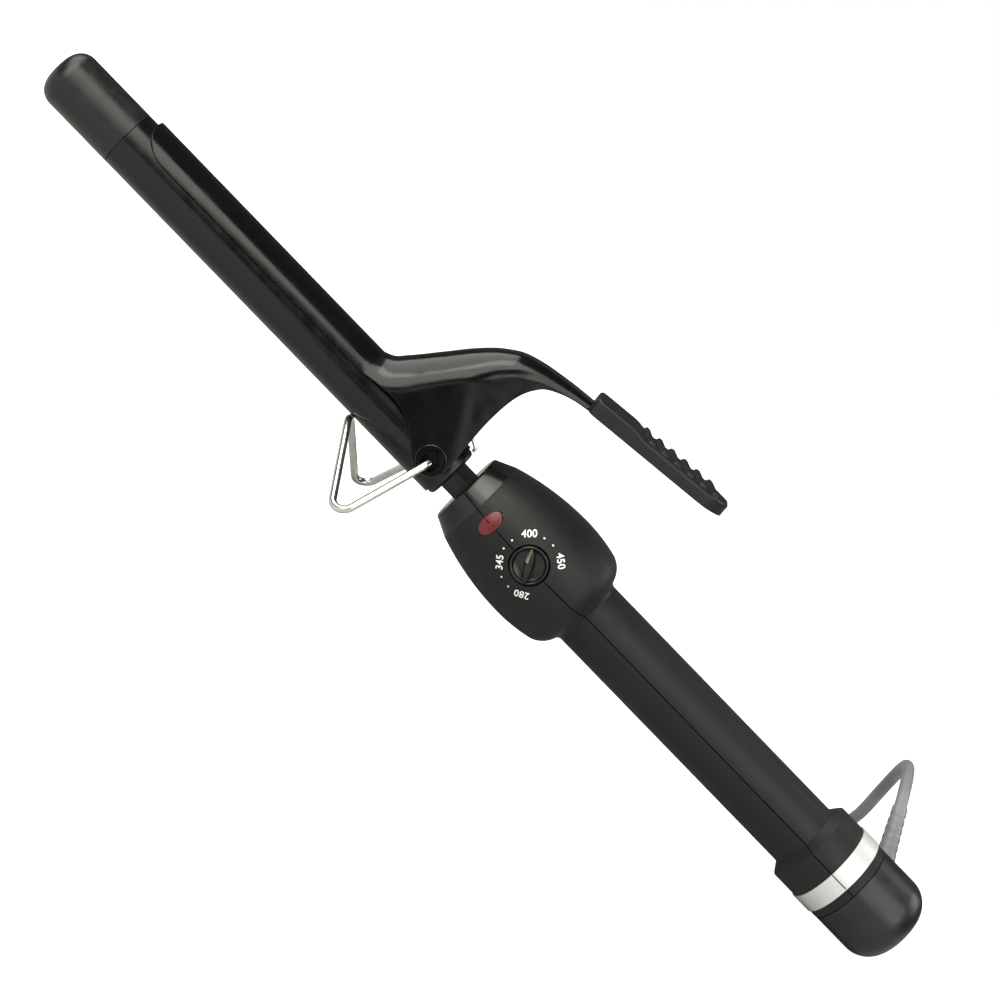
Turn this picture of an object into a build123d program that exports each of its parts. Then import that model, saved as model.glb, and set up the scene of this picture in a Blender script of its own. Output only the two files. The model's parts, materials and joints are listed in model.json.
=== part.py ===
from build123d import *
import math
import os

# Spring-clip curling iron, resting on its wire stand. Millimetres.
# Every piece of the iron is drawn about the barrel's own axis: X runs from the tip to the
# handle, Y is the clamp's hinge line, Z points to the thumb lever, and the hinge is at the
# origin. At the end the whole iron is tilted onto the table that the stand and the swivel
# cap rest on, and the box of the iron is centred over the row's origin.

# Barrel
barrel_diameter = 19.05
barrel_wall = 0.8
tip_end_x = -161.2
tip_cap_length = 29.5
tip_corner = 5.4
tip_seam = 0.3
tip_wall = 1.8
tip_spigot_length = 8.0
barrel_rear_x = 5.8
base_collar_step = 0.725
base_collar_radius = barrel_diameter / 2 - base_collar_step
base_collar_rear_x = 7.9

# Heater inside the barrel
heater_radius = 3.5
heater_length = 96.0
heater_rear_x = -22.0
spreader_slit = 1.2
fit_gap = 0.05
part_gap = 0.3

# Clamp: clip, lever and thumb rest
clip_gap = 0.4
clip_thickness = 1.0
clip_front_x = -128.1
clip_cover_angle = 71.0
fold_x = -33.0
lever_stations = 16
lever_taper_start = 0.24
lever_tail_half_width = 5.2
thumb_length = 51.0
thumb_width = 18.5
thumb_height = 4.7
thumb_front_height = 6.4
thumb_lug_length = 14.0
thumb_pitch_angle = 6.6
thumb_wall = 1.4
thumb_roof = 1.1
thumb_tab_height = 2.1
thumb_tab_thickness = 1.2
thumb_start_x = 21.7
thumb_start_z = 43.8
ridge_count = 6
ridge_pitch = 4.9
ridge_height = 1.1
ridge_width = 1.5
ridge_skew = 10.0

# Hinge rivets and wire stand
rivet_shank_radius = 2.0
rivet_journal_radius = 2.6
rivet_cup_radius = 3.4
rivet_cup_bore = 2.75
rivet_reach = 14.6
wire_radius = 1.2
wire_start_y = 10.4
arm_start_y = 16.6
stand_foot = (-9.2, 24.3, -27.2)
stand_apex_x = -26.0
stand_apex_half_width = 2.4
foot_bend = 4.0
stop_bend = 3.4

# Clamp spring
spring_wire_radius = 0.6
spring_coil_radius = 2.6
spring_turns = 4
spring_lift = 5.075
spring_centre = (-1.2, barrel_diameter / 2 + spring_lift)

# Neck and handle
neck_width = 9.4
neck_end_x = 13.25
stem_radius = 3.3
front_cap_rear_x = 19.7
housing_radius = 19.4
housing_peak_x = 44.5
housing_rear_x = 65.0
handle_radius = 11.35
handle_end_x = 162.2
collar_radius = 14.6
collar_start_x = 164.8
shell_end_x = 182.7
shell_wall = 2.2
parting_height = 0.8

# Temperature dial and indicator
dial_x = 42.4
dial_knob_radius = 5.9
dial_recess_gap = 0.5
dial_recess_radius = dial_knob_radius + dial_recess_gap
dial_floor_y = 14.6
dial_rim_y = 18.9
dial_bar_y = 20.3
dial_bar_width = 2.4
dial_rest_angle = 122.0
dial_shaft_radius = 3.0
lens_x = 25.4
lens_height = 9.0
lens_width = 5.1
lens_stand = 0.35

# Trim ring and swivel cap
ring_start_x = 173.3
ring_end_x = 179.8
ring_radius = 14.95
ring_wall = 1.2
swivel_cap_radius = 14.55
swivel_cap_end_x = 205.6
swivel_cap_corner = 8.8
swivel_cap_wall = 1.8
swivel_gap = 0.3
spool_neck_radius = 5.0
spool_flange_radius = 8.6
contact_width = 2.2
brush_leaf_inset = 0.4

# Supply cord and plug
cord_diameter = 4.2
boot_base_x = 192.6
boot_base_radius = 3.6
boot_tip_radius = 2.6
boot_start = 13.0
boot_length = 28.0
boot_elevation = 25.0
boot_lean = 20.0
hank_centre_x = 89.0
hank_centre_y = 88.0
hank_straight = 27.4
hank_fold_radius = 13.0
hank_turns_across = 4
hank_layers = 2
hank_pitch = 4.4
hank_entry_x = 121.0
tie_width = 8.0
tie_thickness = 0.8
plug_tail_x = 124.0
plug_length = 30.0
plug_width = 22.0
plug_height = 14.0
blade_spacing = 12.7
blade_length = 16.0

# Sizes worked out from those above
barrel_radius = barrel_diameter / 2
barrel_bore = barrel_radius - barrel_wall
tip_seam_x = tip_end_x + tip_cap_length
clip_inner = barrel_radius + clip_gap
clip_outer = clip_inner + clip_thickness
lever_tail_x = thumb_start_x + 1.0
stand_apex_z = -(barrel_radius + wire_radius + part_gap)
cord_radius = cord_diameter / 2
hank_height = hank_layers * hank_pitch
hank_outer_fold = hank_fold_radius + (hank_turns_across - 1) * hank_pitch
cord_floor = hank_pitch / 2
cord_top = hank_height - hank_pitch / 2


def cylinder_x(x_from, x_to, radius, y=0, z=0):
    """Cylinder along X between two places."""
    profile = Plane(origin=(x_from, y, z), x_dir=(0, 1, 0), z_dir=(1, 0, 0)) * Circle(radius)
    return extrude(profile, x_to - x_from)


def cylinder_y(y_from, y_to, radius, x=0, z=0):
    """Cylinder along Y between two places."""
    profile = Plane(origin=(x, y_from, z), x_dir=(1, 0, 0), z_dir=(0, 1, 0)) * Circle(radius)
    return extrude(profile, y_to - y_from)


def cylinder_z(z_from, z_to, radius, x=0, y=0):
    """Cylinder along Z between two places."""
    return extrude(Plane(origin=(x, y, z_from)) * Circle(radius), z_to - z_from)


def block(x_from, x_to, y_from, y_to, z_from, z_to):
    """Box between two corners."""
    size = (x_to - x_from, y_to - y_from, z_to - z_from)
    centre = ((x_from + x_to) / 2, (y_from + y_to) / 2, (z_from + z_to) / 2)
    return Pos(*centre) * Box(*size)


def both_sides(shape):
    """The shape and its mirror image across the barrel's middle plane."""
    return [shape, mirror(shape, Plane.XZ)]


# ---------------------------------------------------------------- barrel and heater

def make_barrel_tube():
    tube = cylinder_x(tip_seam_x, barrel_rear_x, barrel_radius)
    tube -= cylinder_x(tip_seam_x, barrel_rear_x, barrel_bore)
    return tube - cylinder_y(-barrel_diameter, barrel_diameter, rivet_shank_radius + fit_gap)


def make_tip_cap():
    front = tip_end_x
    rear = tip_seam_x - tip_seam
    body = cylinder_x(front, rear, barrel_radius)
    body = fillet(body.edges().sort_by(Axis.X)[0:1], tip_corner)
    spigot_radius = barrel_bore - fit_gap
    body += cylinder_x(rear, rear + tip_spigot_length, spigot_radius)
    hollow = cylinder_x(front + tip_wall + tip_corner / 2, rear + tip_spigot_length, spigot_radius - tip_wall)
    return body - hollow


def make_heater_core():
    return cylinder_x(heater_rear_x - heater_length, heater_rear_x, heater_radius)


def make_heat_spreader(side):
    outer = barrel_bore - fit_gap
    solid = cylinder_x(heater_rear_x - heater_length, heater_rear_x, outer)
    solid -= cylinder_x(heater_rear_x - heater_length, heater_rear_x, heater_radius + fit_gap)
    low = spreader_slit / 2
    half = block(heater_rear_x - heater_length, heater_rear_x, -outer, outer, low, outer)
    if side < 0:
        half = mirror(half, Plane.XY)
    return solid & half


def make_thermistor():
    bead_y = (heater_radius + barrel_bore) / 2
    bead = cylinder_x(heater_rear_x + part_gap, heater_rear_x + 6, 1.1, y=bead_y)
    return bead


def make_base_bracket():
    outer = barrel_bore - fit_gap
    ring = cylinder_x(-7.0, barrel_rear_x, outer) - cylinder_x(-7.0, barrel_rear_x, outer - 2.0)
    return ring - cylinder_y(-barrel_diameter, barrel_diameter, rivet_shank_radius + fit_gap)


def make_base_collar():
    plug_radius = barrel_bore - 2.0 - 2 * fit_gap
    plug = cylinder_x(barrel_rear_x - 3.5, barrel_rear_x, plug_radius)
    disc = cylinder_x(barrel_rear_x, base_collar_rear_x, base_collar_radius)
    disc = fillet(disc.edges().sort_by(Axis.X)[-1:], 1.4)
    return plug + disc - cylinder_x(-10, 10, stem_radius + fit_gap)


# ---------------------------------------------------------------- hinge, stand and spring

def make_pivot_rivets():
    head_y = clip_outer + fit_gap
    rivet = cylinder_y(barrel_bore - 2.6, clip_inner - fit_gap, rivet_shank_radius)
    rivet += cylinder_y(clip_inner - fit_gap, head_y, rivet_journal_radius)
    cup = cylinder_y(head_y, rivet_reach, rivet_cup_radius)
    rivet += cup - cylinder_y(head_y + 1.0, rivet_reach, rivet_cup_bore)
    rivet -= cylinder_y(wire_start_y - 0.3, rivet_reach, wire_radius + fit_gap)
    return both_sides(rivet)


def corner_through(before, middle, after, radius):
    """Corner point whose rounded bend passes through the given middle point."""
    corner = Vector(*middle)
    for _ in range(12):
        back = (Vector(*before) - corner).normalized()
        ahead = (Vector(*after) - corner).normalized()
        half = math.radians(back.get_angle(ahead)) / 2
        corner = Vector(*middle) - (back + ahead).normalized() * radius * (1 / math.sin(half) - 1)
    return tuple(corner)


def make_stand_wire():
    """Wire from one rivet down to a foot, up to the stop under the barrel, and back."""
    arm_start = (0, arm_start_y, 0)
    stop = (stand_apex_x, stand_apex_half_width, stand_apex_z)
    half = [(0, wire_start_y, 0), arm_start, corner_through(arm_start, stand_foot, stop, foot_bend), stop]
    route = half + [(x, -y, z) for x, y, z in reversed(half)]
    bends = [2.6, foot_bend, stop_bend]
    path = FilletPolyline(*route, radius=bends + bends[::-1])
    start = Plane(origin=route[0], z_dir=(0, 1, 0))
    return sweep(start * Circle(wire_radius), path=path)


def spring_anchor(angle, reach):
    """Point beside the spring's coil, at a reach from its centre and an angle above the rear."""
    x, z = spring_centre
    turn = math.radians(angle)
    return (x + reach * math.cos(turn), z + reach * math.sin(turn))


def make_clamp_spring():
    """Coil on the spring pin, a rear leg hooked over the base collar and a front leg up
    against the inside of the lever."""
    x, z = spring_centre
    pitch = 2 * spring_wire_radius + 0.25
    width = pitch * spring_turns
    coil = cylinder_y(-width / 2, width / 2, spring_coil_radius + spring_wire_radius, x, z)
    coil -= cylinder_y(-width / 2, width / 2, spring_coil_radius - spring_wire_radius, x, z)
    for turn in range(1, spring_turns):
        groove_y = -width / 2 + turn * pitch
        notch = cylinder_y(groove_y - 0.15, groove_y + 0.15, spring_coil_radius + 1, x, z)
        coil -= notch - cylinder_y(groove_y - 1, groove_y + 1, spring_coil_radius, x, z)
    leg_radius = spring_wire_radius - fit_gap
    rear_y = -width / 2 + spring_wire_radius
    low = z - spring_coil_radius
    hook = FilletPolyline(
        (x, rear_y, low),
        (x + 6.0, rear_y, low),
        (x + 8.2, rear_y, low - 1.2),
        (x + 8.2, rear_y, low - 2.4),
        radius=1.0,
    )
    rear_leg = sweep(Plane(origin=(x, rear_y, low), z_dir=(1, 0, 0)) * Circle(leg_radius), path=hook)
    front_y = width / 2 - spring_wire_radius
    start = spring_anchor(230, spring_coil_radius)
    start = (start[0], front_y, start[1])
    end = (-20.4, front_y, 21.6)
    direction = (Vector(*end) - Vector(*start)).normalized()
    front_leg = extrude(Plane(origin=start, z_dir=direction) * Circle(leg_radius),
                        (Vector(*end) - Vector(*start)).length)
    return coil + rear_leg + front_leg


def make_spring_pin():
    x, z = spring_centre
    return cylinder_y(-5.2, 5.2, spring_coil_radius - spring_wire_radius - fit_gap, x, z)


def make_spring_bracket():
    """Saddle on top of the barrel, with two ears that carry the spring pin."""
    x, z = spring_centre
    saddle_inner = barrel_radius
    saddle = cylinder_x(x - 4, x + 4, saddle_inner + 0.8) - cylinder_x(x - 4, x + 4, saddle_inner)
    saddle &= block(x - 4, x + 4, -5.2, 5.2, 0, 2 * saddle_inner)
    ear = block(x - 2.6, x + 2.6, 4.2, 5.2, saddle_inner - 1, z)
    ear += cylinder_y(4.2, 5.2, 2.6, x, z)
    ear -= cylinder_x(x - 4, x + 4, saddle_inner)
    ear -= cylinder_y(4, 6, spring_coil_radius - spring_wire_radius, x, z)
    bracket = saddle
    for piece in both_sides(ear):
        bracket += piece
    return bracket


# ---------------------------------------------------------------- clamp

def arch_section(x, z, slope, half_width, corner, depth):
    """Upside-down U, filled: flat crown at (x, z), rounded shoulders and two straight legs."""
    across = Plane(origin=(x, 0, z), x_dir=(0, 1, 0),
                   z_dir=(math.cos(math.radians(slope)), 0, math.sin(math.radians(slope))))
    if across.y_dir.Z < 0:
        across = Plane(origin=(x, 0, z), x_dir=(0, -1, 0), z_dir=across.z_dir)
    flat = half_width - corner
    diagonal = corner * math.sqrt(0.5)
    crown = Line((-flat, 0), (flat, 0))
    right = ThreePointArc((flat, 0), (flat + diagonal, diagonal - corner), (half_width, -corner))
    leg_right = Line((half_width, -corner), (half_width, -depth))
    bottom = Line((half_width, -depth), (-half_width, -depth))
    leg_left = Line((-half_width, -depth), (-half_width, -corner))
    left = ThreePointArc((-half_width, -corner), (-flat - diagonal, diagonal - corner), (-flat, 0))
    return across * make_face([crown, right, leg_right, bottom, leg_left, left])


def lever_ridge():
    """Crown line of the lever in side view: out of the clip, up, and back to the thumb rest."""
    return Spline((fold_x, clip_outer), (-25.2, 18.1), (-12.6, 34.0), (-3.6, 41.2), (8.2, 44.4),
                  (lever_tail_x, 46.4), tangents=[(1, 0), (1, 0.116)])


def lever_form(inset):
    """Solid under the lever's outer skin, or under its inner skin when inset by the sheet.
    The inner one runs past both ends and deeper, so that it cuts right through."""
    past = 1.0 if inset else 0.0
    ridge = lever_ridge()
    faces = []
    for number in range(lever_stations + 1):
        along = number / lever_stations
        point = ridge @ along
        ahead = ridge % along
        narrowing = max(0.0, (along - lever_taper_start) / (1 - lever_taper_start))
        half_width = clip_outer - (clip_outer - lever_tail_half_width) * narrowing
        roundness = 0.97 - 0.45 * narrowing
        depth = 44.0 - 37.0 * min(1.0, max(0.0, (along - 0.25) / 0.6))
        shift = -past if number == 0 else past if number == lever_stations else 0.0
        sunk_x = point.X + inset * ahead.Y + shift * ahead.X
        sunk_z = point.Y - inset * ahead.X + shift * ahead.Y
        slope = math.degrees(math.atan2(ahead.Y, ahead.X))
        corner = half_width * roundness - inset
        faces.append(arch_section(sunk_x, sunk_z, slope, half_width - inset, corner, depth + past))
    return loft(faces, ruled=True)


def lever_side_outline():
    """Side view of the sheet: everything above the lower and rear edges of the lever."""
    clip_edge_z = clip_outer * math.cos(math.radians(clip_cover_angle))
    heel = 5.4
    lower = Spline((fold_x - 1, clip_edge_z), (-24.0, 5.4), (-14.5, 4.1), (-6.8, -1.7), (-3.4, -4.6),
                   tangents=[(1, 0.1), (1, -0.5)])
    heel_arc = ThreePointArc((-3.4, -4.6), (3.6, -heel * 0.72), (5.5, 1.2))
    tail_z = 44.0
    rear = Spline((5.5, 1.2), (4.3, 10.5), (3.5, 19.5), (3.7, 29.2), (7.0, 37.6), (14.3, 42.2),
                  (lever_tail_x, tail_z), tangents=[(0, 1), (1, 0.1)])
    top = Polyline((lever_tail_x, tail_z), (lever_tail_x, tail_z + 8), (-20, 60), (fold_x - 1, 40),
                   (fold_x - 1, clip_edge_z))
    return make_face(Plane.XZ * Wire([*lower.edges(), *heel_arc.edges(), *rear.edges(), *top.edges()]))


def make_clamp_lever():
    """One bent sheet: the half-round clip along the barrel and the U-section lever."""
    side = extrude(lever_side_outline(), 40, both=True)
    lever = (lever_form(0) - lever_form(clip_thickness)) & side
    clip = cylinder_x(clip_front_x - 1, fold_x, clip_outer) - cylinder_x(clip_front_x - 1, fold_x, clip_inner)
    half = clip_outer * math.sin(math.radians(clip_cover_angle))
    edge_z = clip_outer * math.cos(math.radians(clip_cover_angle))
    tongue = make_face(Wire([
        Line((fold_x, -half), (clip_front_x + half, -half)),
        ThreePointArc((clip_front_x + half, -half), (clip_front_x, 0), (clip_front_x + half, half)),
        Line((clip_front_x + half, half), (fold_x, half)),
        Line((fold_x, half), (fold_x, -half)),
    ]))
    clip &= extrude(Pos(0, 0, edge_z) * tongue, clip_outer)
    sheet = clip + lever
    sheet -= cylinder_y(-2 * clip_outer, 2 * clip_outer, rivet_journal_radius + fit_gap)
    tab_bottom = thumb_tab_height - thumb_tab_thickness / 2
    tab = block(-1.4, thumb_length * 0.78, -3.5, 3.5, tab_bottom, tab_bottom + thumb_tab_thickness)
    for x in thumb_screw_places():
        tab -= Pos(x, 0, thumb_tab_height) * Cylinder(2.35, 3)
    return sheet + thumb_plane() * tab


def thumb_plane():
    """Plane of the thumb rest: X along it from its front end, Z out of its underside."""
    turn = math.radians(thumb_pitch_angle)
    return Plane(origin=(thumb_start_x, 0, thumb_start_z), x_dir=(math.cos(turn), 0, math.sin(turn)),
                 z_dir=(-math.sin(turn), 0, math.cos(turn)))


def thumb_outline(inset):
    """Plan of the thumb rest: square front with small corners and a full round rear end."""
    half = thumb_width / 2 - inset
    front = inset
    rear = thumb_length - inset
    corner = 2.4
    return make_face(Wire([
        Line((front + corner, -half), (rear - half, -half)),
        ThreePointArc((rear - half, -half), (rear, 0), (rear - half, half)),
        Line((rear - half, half), (front + corner, half)),
        ThreePointArc((front + corner, half), (front + corner * 0.3, half - corner * 0.3), (front, half - corner)),
        Line((front, half - corner), (front, corner - half)),
        ThreePointArc((front, corner - half), (front + corner * 0.3, corner * 0.3 - half), (front + corner, -half)),
    ]))


def make_thumb_rest():
    """Moulded cover: a raised lug in front, then a lower pad with slanted ridges."""
    body = extrude(thumb_outline(0), thumb_front_height)
    step = thumb_front_height - thumb_height
    rise = Polyline(
        (thumb_lug_length, thumb_front_height + 1),
        (thumb_lug_length, thumb_front_height),
        (thumb_lug_length + 2.2, thumb_front_height - step * 0.25),
        (thumb_lug_length + 4.4, thumb_front_height - step * 0.75),
        (thumb_lug_length + 6.6, thumb_height),
        (thumb_length + 1, thumb_height),
        (thumb_length + 1, thumb_front_height + 1),
        close=True,
    )
    body -= extrude(Plane.XZ * make_face(rise), thumb_width, both=True)
    ridge_start = thumb_length - thumb_width / 2 - (ridge_count - 1) * ridge_pitch + 2.4
    for number in range(ridge_count):
        place = Pos(ridge_start + number * ridge_pitch, 0, thumb_height) * Rot(0, 0, ridge_skew)
        bar = place * Box(ridge_width, thumb_width, 2 * ridge_height)
        body += bar & extrude(thumb_outline(0.9), thumb_front_height * 2)
    cavity = extrude(thumb_outline(thumb_wall), thumb_height - thumb_roof)
    body -= cavity
    body -= block(-1, 2 * thumb_wall, -5.3, 5.3, -1, 3.0)
    for post_x in thumb_screw_places():
        body += cylinder_z(2.0, thumb_height - 0.5, 2.2, x=post_x)
        body -= cylinder_z(0, thumb_height - thumb_roof, 0.85, x=post_x)
    return thumb_plane() * body


def thumb_screw_places():
    return (thumb_length * 0.30, thumb_length * 0.68)


def make_thumb_rest_base():
    """Plate that closes the thumb rest from below, under the lever's tab."""
    plate = extrude(thumb_outline(thumb_wall + fit_gap), 1.4)
    plate -= Pos(0, 0, 0.7) * Box(2 * (thumb_wall + 1.6), 10.8, 1.6)
    for x in thumb_screw_places():
        plate -= Pos(x, 0, 0) * Cylinder(1.0, 6)
        plate -= Pos(x, 0, 0.4) * Cylinder(1.9, 0.8)
    return thumb_plane() * plate


def make_thumb_rest_screws():
    screws = []
    for x in thumb_screw_places():
        head = Pos(x, 0, 0.05) * Cylinder(1.8, 0.7, align=(Align.CENTER, Align.CENTER, Align.MIN))
        stem = Pos(x, 0, 0.4) * Cylinder(0.8, 3.0, align=(Align.CENTER, Align.CENTER, Align.MIN))
        screws.append(thumb_plane() * (head + stem))
    return screws


# ---------------------------------------------------------------- neck and handle shells

def make_support_stem():
    stem = cylinder_x(barrel_rear_x - 6, front_cap_rear_x + 6, stem_radius)
    return stem - cylinder_x(barrel_rear_x - 6, front_cap_rear_x + 6, stem_radius - 0.7)


def make_neck():
    """Short eight-sided sleeve between the barrel's collar and the front cap."""
    length = neck_end_x - base_collar_rear_x
    across = RegularPolygon(neck_width / 2, 8, major_radius=False)
    start = Plane(origin=(base_collar_rear_x, 0, 0), x_dir=(0, 1, 0), z_dir=(1, 0, 0))
    sleeve = extrude(start * Rot(0, 0, 22.5) * across, length)
    sleeve -= cylinder_x(base_collar_rear_x, neck_end_x, stem_radius + fit_gap)
    window = block(base_collar_rear_x + 1.3, neck_end_x - 0.9, neck_width / 2 - 0.35, neck_width, 0.4, 1.9)
    for piece in both_sides(window):
        sleeve -= piece
    return sleeve


def handle_outline(inset):
    """Half outline of the handle from the front cap to the end of the shells, or of its
    hollow when inset by the wall."""
    front = neck_end_x + inset
    wide = housing_radius - inset
    thin = handle_radius - inset
    collar = collar_radius - inset
    shoulder_x = housing_rear_x - 6.4 - inset * 0.5
    back = housing_rear_x - inset * 0.8
    cone = inset * 0.35
    end = shell_end_x - max(inset, 0)
    return [
        Line((front, 0), (front, 11.2 - inset)),
        ThreePointArc((front, 11.2 - inset), (front + 0.35, 12.1 - inset), (front + 1.2, 12.6 - inset)),
        Line((front + 1.2, 12.6 - inset), (front_cap_rear_x, 15.1 - inset)),
        ThreePointArc((front_cap_rear_x, 15.1 - inset), (31.0, wide - 1.42), (housing_peak_x, wide)),
        ThreePointArc((housing_peak_x, wide), (52.0, wide - 0.18), (shoulder_x, wide - 1.2)),
        ThreePointArc((shoulder_x, wide - 1.2), (back - 1.9, wide - 3.5), (back, thin + 1.5)),
        ThreePointArc((back, thin + 1.5), (back + 0.75, thin + 0.4), (back + 2.4, thin)),
        Line((back + 2.4, thin), (handle_end_x + cone, thin)),
        Line((handle_end_x + cone, thin), (collar_start_x + cone, collar)),
        Line((collar_start_x + cone, collar), (end, collar)),
        Line((end, collar), (end, 0)),
        Line((end, 0), (front, 0)),
    ]


def handle_solid(inset):
    """Handle turned about the barrel's axis, or its hollow when inset by the wall."""
    return revolve(Plane.XZ * make_face(Wire(handle_outline(inset))), Axis.X)


def lens_outline(grow):
    """Pointed oval of the indicator, drawn flat."""
    half_h = lens_height / 2 + grow
    half_w = lens_width / 2 + grow
    return make_face(Wire([
        ThreePointArc((0, half_h), (half_w, 0), (0, -half_h)),
        ThreePointArc((0, -half_h), (-half_w, 0), (0, half_h)),
    ]))


def side_plane(x, y):
    """Plane facing the dial side, with its origin on the parting line."""
    return Plane(origin=(x, -y, parting_height), x_dir=(1, 0, 0), z_dir=(0, -1, 0))


def make_shell_body():
    """Handle casing before it is parted: hollow, with dial pot, lens hole, bulkheads and posts."""
    outer = handle_solid(0)
    casing = outer - handle_solid(shell_wall)
    bulkhead_x = front_cap_rear_x + 1.2
    casing += cylinder_x(bulkhead_x, bulkhead_x + 2, 15.6) & outer
    pot = extrude(side_plane(dial_x, dial_floor_y - 1.6) * Circle(dial_recess_radius + 1.4), 8)
    casing += pot & outer
    casing -= extrude(side_plane(dial_x, dial_floor_y) * Circle(dial_recess_radius), 12)
    casing -= extrude(side_plane(dial_x, 4) * Circle(dial_shaft_radius + 0.7), 20)
    casing -= extrude(side_plane(lens_x, 8) * lens_outline(fit_gap), 20)
    for x, post_radius, reach in screw_places():
        post = cylinder_z(-reach, reach, post_radius, x=x, y=6.0 if reach > 12 else 0)
        casing += post & outer
    casing -= cylinder_x(front_cap_rear_x, bulkhead_x + 3, stem_radius + fit_gap)
    casing -= cylinder_x(shell_end_x - shell_wall, shell_end_x, spool_neck_radius + 0.3)
    ring_groove = cylinder_x(ring_start_x, ring_end_x, 30)
    ring_groove -= cylinder_x(ring_start_x, ring_end_x, ring_radius - ring_wall - fit_gap)
    casing -= ring_groove
    for x, post_radius, reach in screw_places():
        y = 6.0 if reach > 12 else 0
        casing -= cylinder_z(-reach, 5, 1.25, x=x, y=y)
        casing -= cylinder_z(-reach, head_seat(reach), 2.7, x=x, y=y)
    return casing


def screw_places():
    """Each closing screw: its X, the radius of its post and the casing's reach there."""
    return [(55.0, 3.6, 19.0), (92.0, 3.6, handle_radius), (138.0, 3.6, handle_radius)]


def head_seat(reach):
    return -reach + 4.2


def front_cap_zone():
    return cylinder_x(neck_end_x - 1, front_cap_rear_x, 40)


def upper_half():
    return block(0, 300, -60, 60, parting_height, 60)


def lower_half():
    return block(0, 300, -60, 60, -60, parting_height)


def make_front_cap(half):
    """Glossy nose of the handle, one half on each side of the parting plane."""
    cap = handle_solid(0) - handle_solid(shell_wall)
    cap -= cylinder_x(0, 30, neck_width / 2 * 0.72)
    return cap & front_cap_zone() & half


def make_shell_screws():
    screws = []
    for x, post_radius, reach in screw_places():
        y = 6.0 if reach > 12 else 0
        seat = head_seat(reach)
        head = cylinder_z(seat - 1.6, seat, 2.5, x=x, y=y)
        stem = cylinder_z(seat, 4.5, 1.2, x=x, y=y)
        slot = block(x - 2, x + 2, y - 0.3, y + 0.3, seat - 1.6, seat - 1.0)
        screws.append(head + stem - slot)
    return screws


# ---------------------------------------------------------------- dial, lamp and electronics

def make_dial_knob():
    """Knob with a low rim, a dished face and a raised finger bar that points at the scale."""
    depth = dial_rim_y - dial_floor_y - part_gap
    base = side_plane(dial_x, dial_floor_y + part_gap)
    knob = extrude(base * Circle(dial_knob_radius), depth)
    knob = chamfer(knob.edges().sort_by(Axis.Y)[0:1], 0.5)
    knob -= extrude(side_plane(dial_x, dial_rim_y - 0.5) * Circle(dial_knob_radius - 1.1), 2)
    bar_length = 2 * dial_knob_radius - 1.0
    bar_face = Rot(0, 0, dial_rest_angle) * Rectangle(bar_length, dial_bar_width)
    bar = extrude(side_plane(dial_x, dial_rim_y - 1.0) * bar_face, dial_bar_y - dial_rim_y + 1.0)
    bar = fillet(bar.edges().sort_by(Axis.Y)[0:4], 0.5)
    knob += bar
    shaft = extrude(side_plane(dial_x, 0) * Circle(dial_shaft_radius + 0.02), dial_rim_y - 1.4)
    return knob - shaft


def make_dial_shaft():
    shaft = extrude(side_plane(dial_x, 6.4) * Circle(dial_shaft_radius), dial_rim_y - 1.4 - 6.4)
    return shaft


def make_potentiometer():
    body = block(dial_x - 5, dial_x + 5, -6.0, -1.2, parting_height - 5.5, parting_height + 5.5)
    bush = extrude(side_plane(dial_x, 6.0) * Circle(4.2), 5.0)
    bush -= extrude(side_plane(dial_x, 5.0) * Circle(dial_shaft_radius + fit_gap), 8)
    return body + bush


def make_circuit_board():
    board = block(28, 60, 0.0, 1.2, -9, 9)
    board -= cylinder_y(-1, 3, 1.3, x=31, z=6.5)
    regulator = block(34, 38, 1.2, 5.0, -6, 4)
    capacitor = block(42, 48, 1.2, 5.4, -7, -1)
    return board + regulator + capacitor


def make_indicator_lens():
    skin = handle_solid(-lens_stand) if lens_stand else handle_solid(0)
    blank = extrude(side_plane(lens_x, 12.6) * lens_outline(0), 12)
    return blank & skin


def make_neon_lamp():
    glass = cylinder_z(parting_height - 5, parting_height + 4, 2.2, x=lens_x, y=-9.6)
    tip = Pos(lens_x, -9.6, parting_height + 4) * Cylinder(0.8, 1.6)
    return glass + tip


def wire_run(points, radius):
    """Stiff lead wire: straight runs with a round elbow at each corner."""
    run = None
    for before, after in zip(points, points[1:]):
        along = Vector(*after) - Vector(*before)
        straight = extrude(Plane(origin=before, z_dir=along) * Circle(radius), along.length)
        run = straight if run is None else run + Pos(*before) * Sphere(radius) + straight
    return run


def make_heater_leads():
    """Two leads from the heater through the stem to the circuit board."""
    leads = []
    for side in (-1, 1):
        route = [
            (heater_rear_x + part_gap, 0.9 * side, 0),
            (0, 1.1 * side, 0),
            (25.2, 1.1 * side, 0.4 * side),
            (27.9, 2.4, 1.5 * side),
            (30, 2.4, 3.0 * side),
        ]
        leads.append(wire_run(route, 0.55))
    return leads


def make_supply_leads():
    """Two leads from the brushes back past the screw posts to the circuit board."""
    leads = []
    for side, brush in ((1, brush_places()[0]), (-1, brush_places()[1])):
        route = [(60.3, 0.6, 2.0 * side), (66, 0.6, 2.0 * side), (78, 7.0, 1.3 * side), (156, 7.0, 1.3 * side),
                 (167.5, 0, 9.4 * side), (brush + brush_leaf_inset, 0, 9.4 * side)]
        leads.append(wire_run(route, 0.7))
    return leads


# ---------------------------------------------------------------- trim ring and swivel

def make_trim_ring():
    ring = cylinder_x(ring_start_x + fit_gap, ring_end_x - fit_gap, ring_radius)
    ring -= cylinder_x(ring_start_x, ring_end_x, ring_radius - ring_wall)
    return ring


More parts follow.
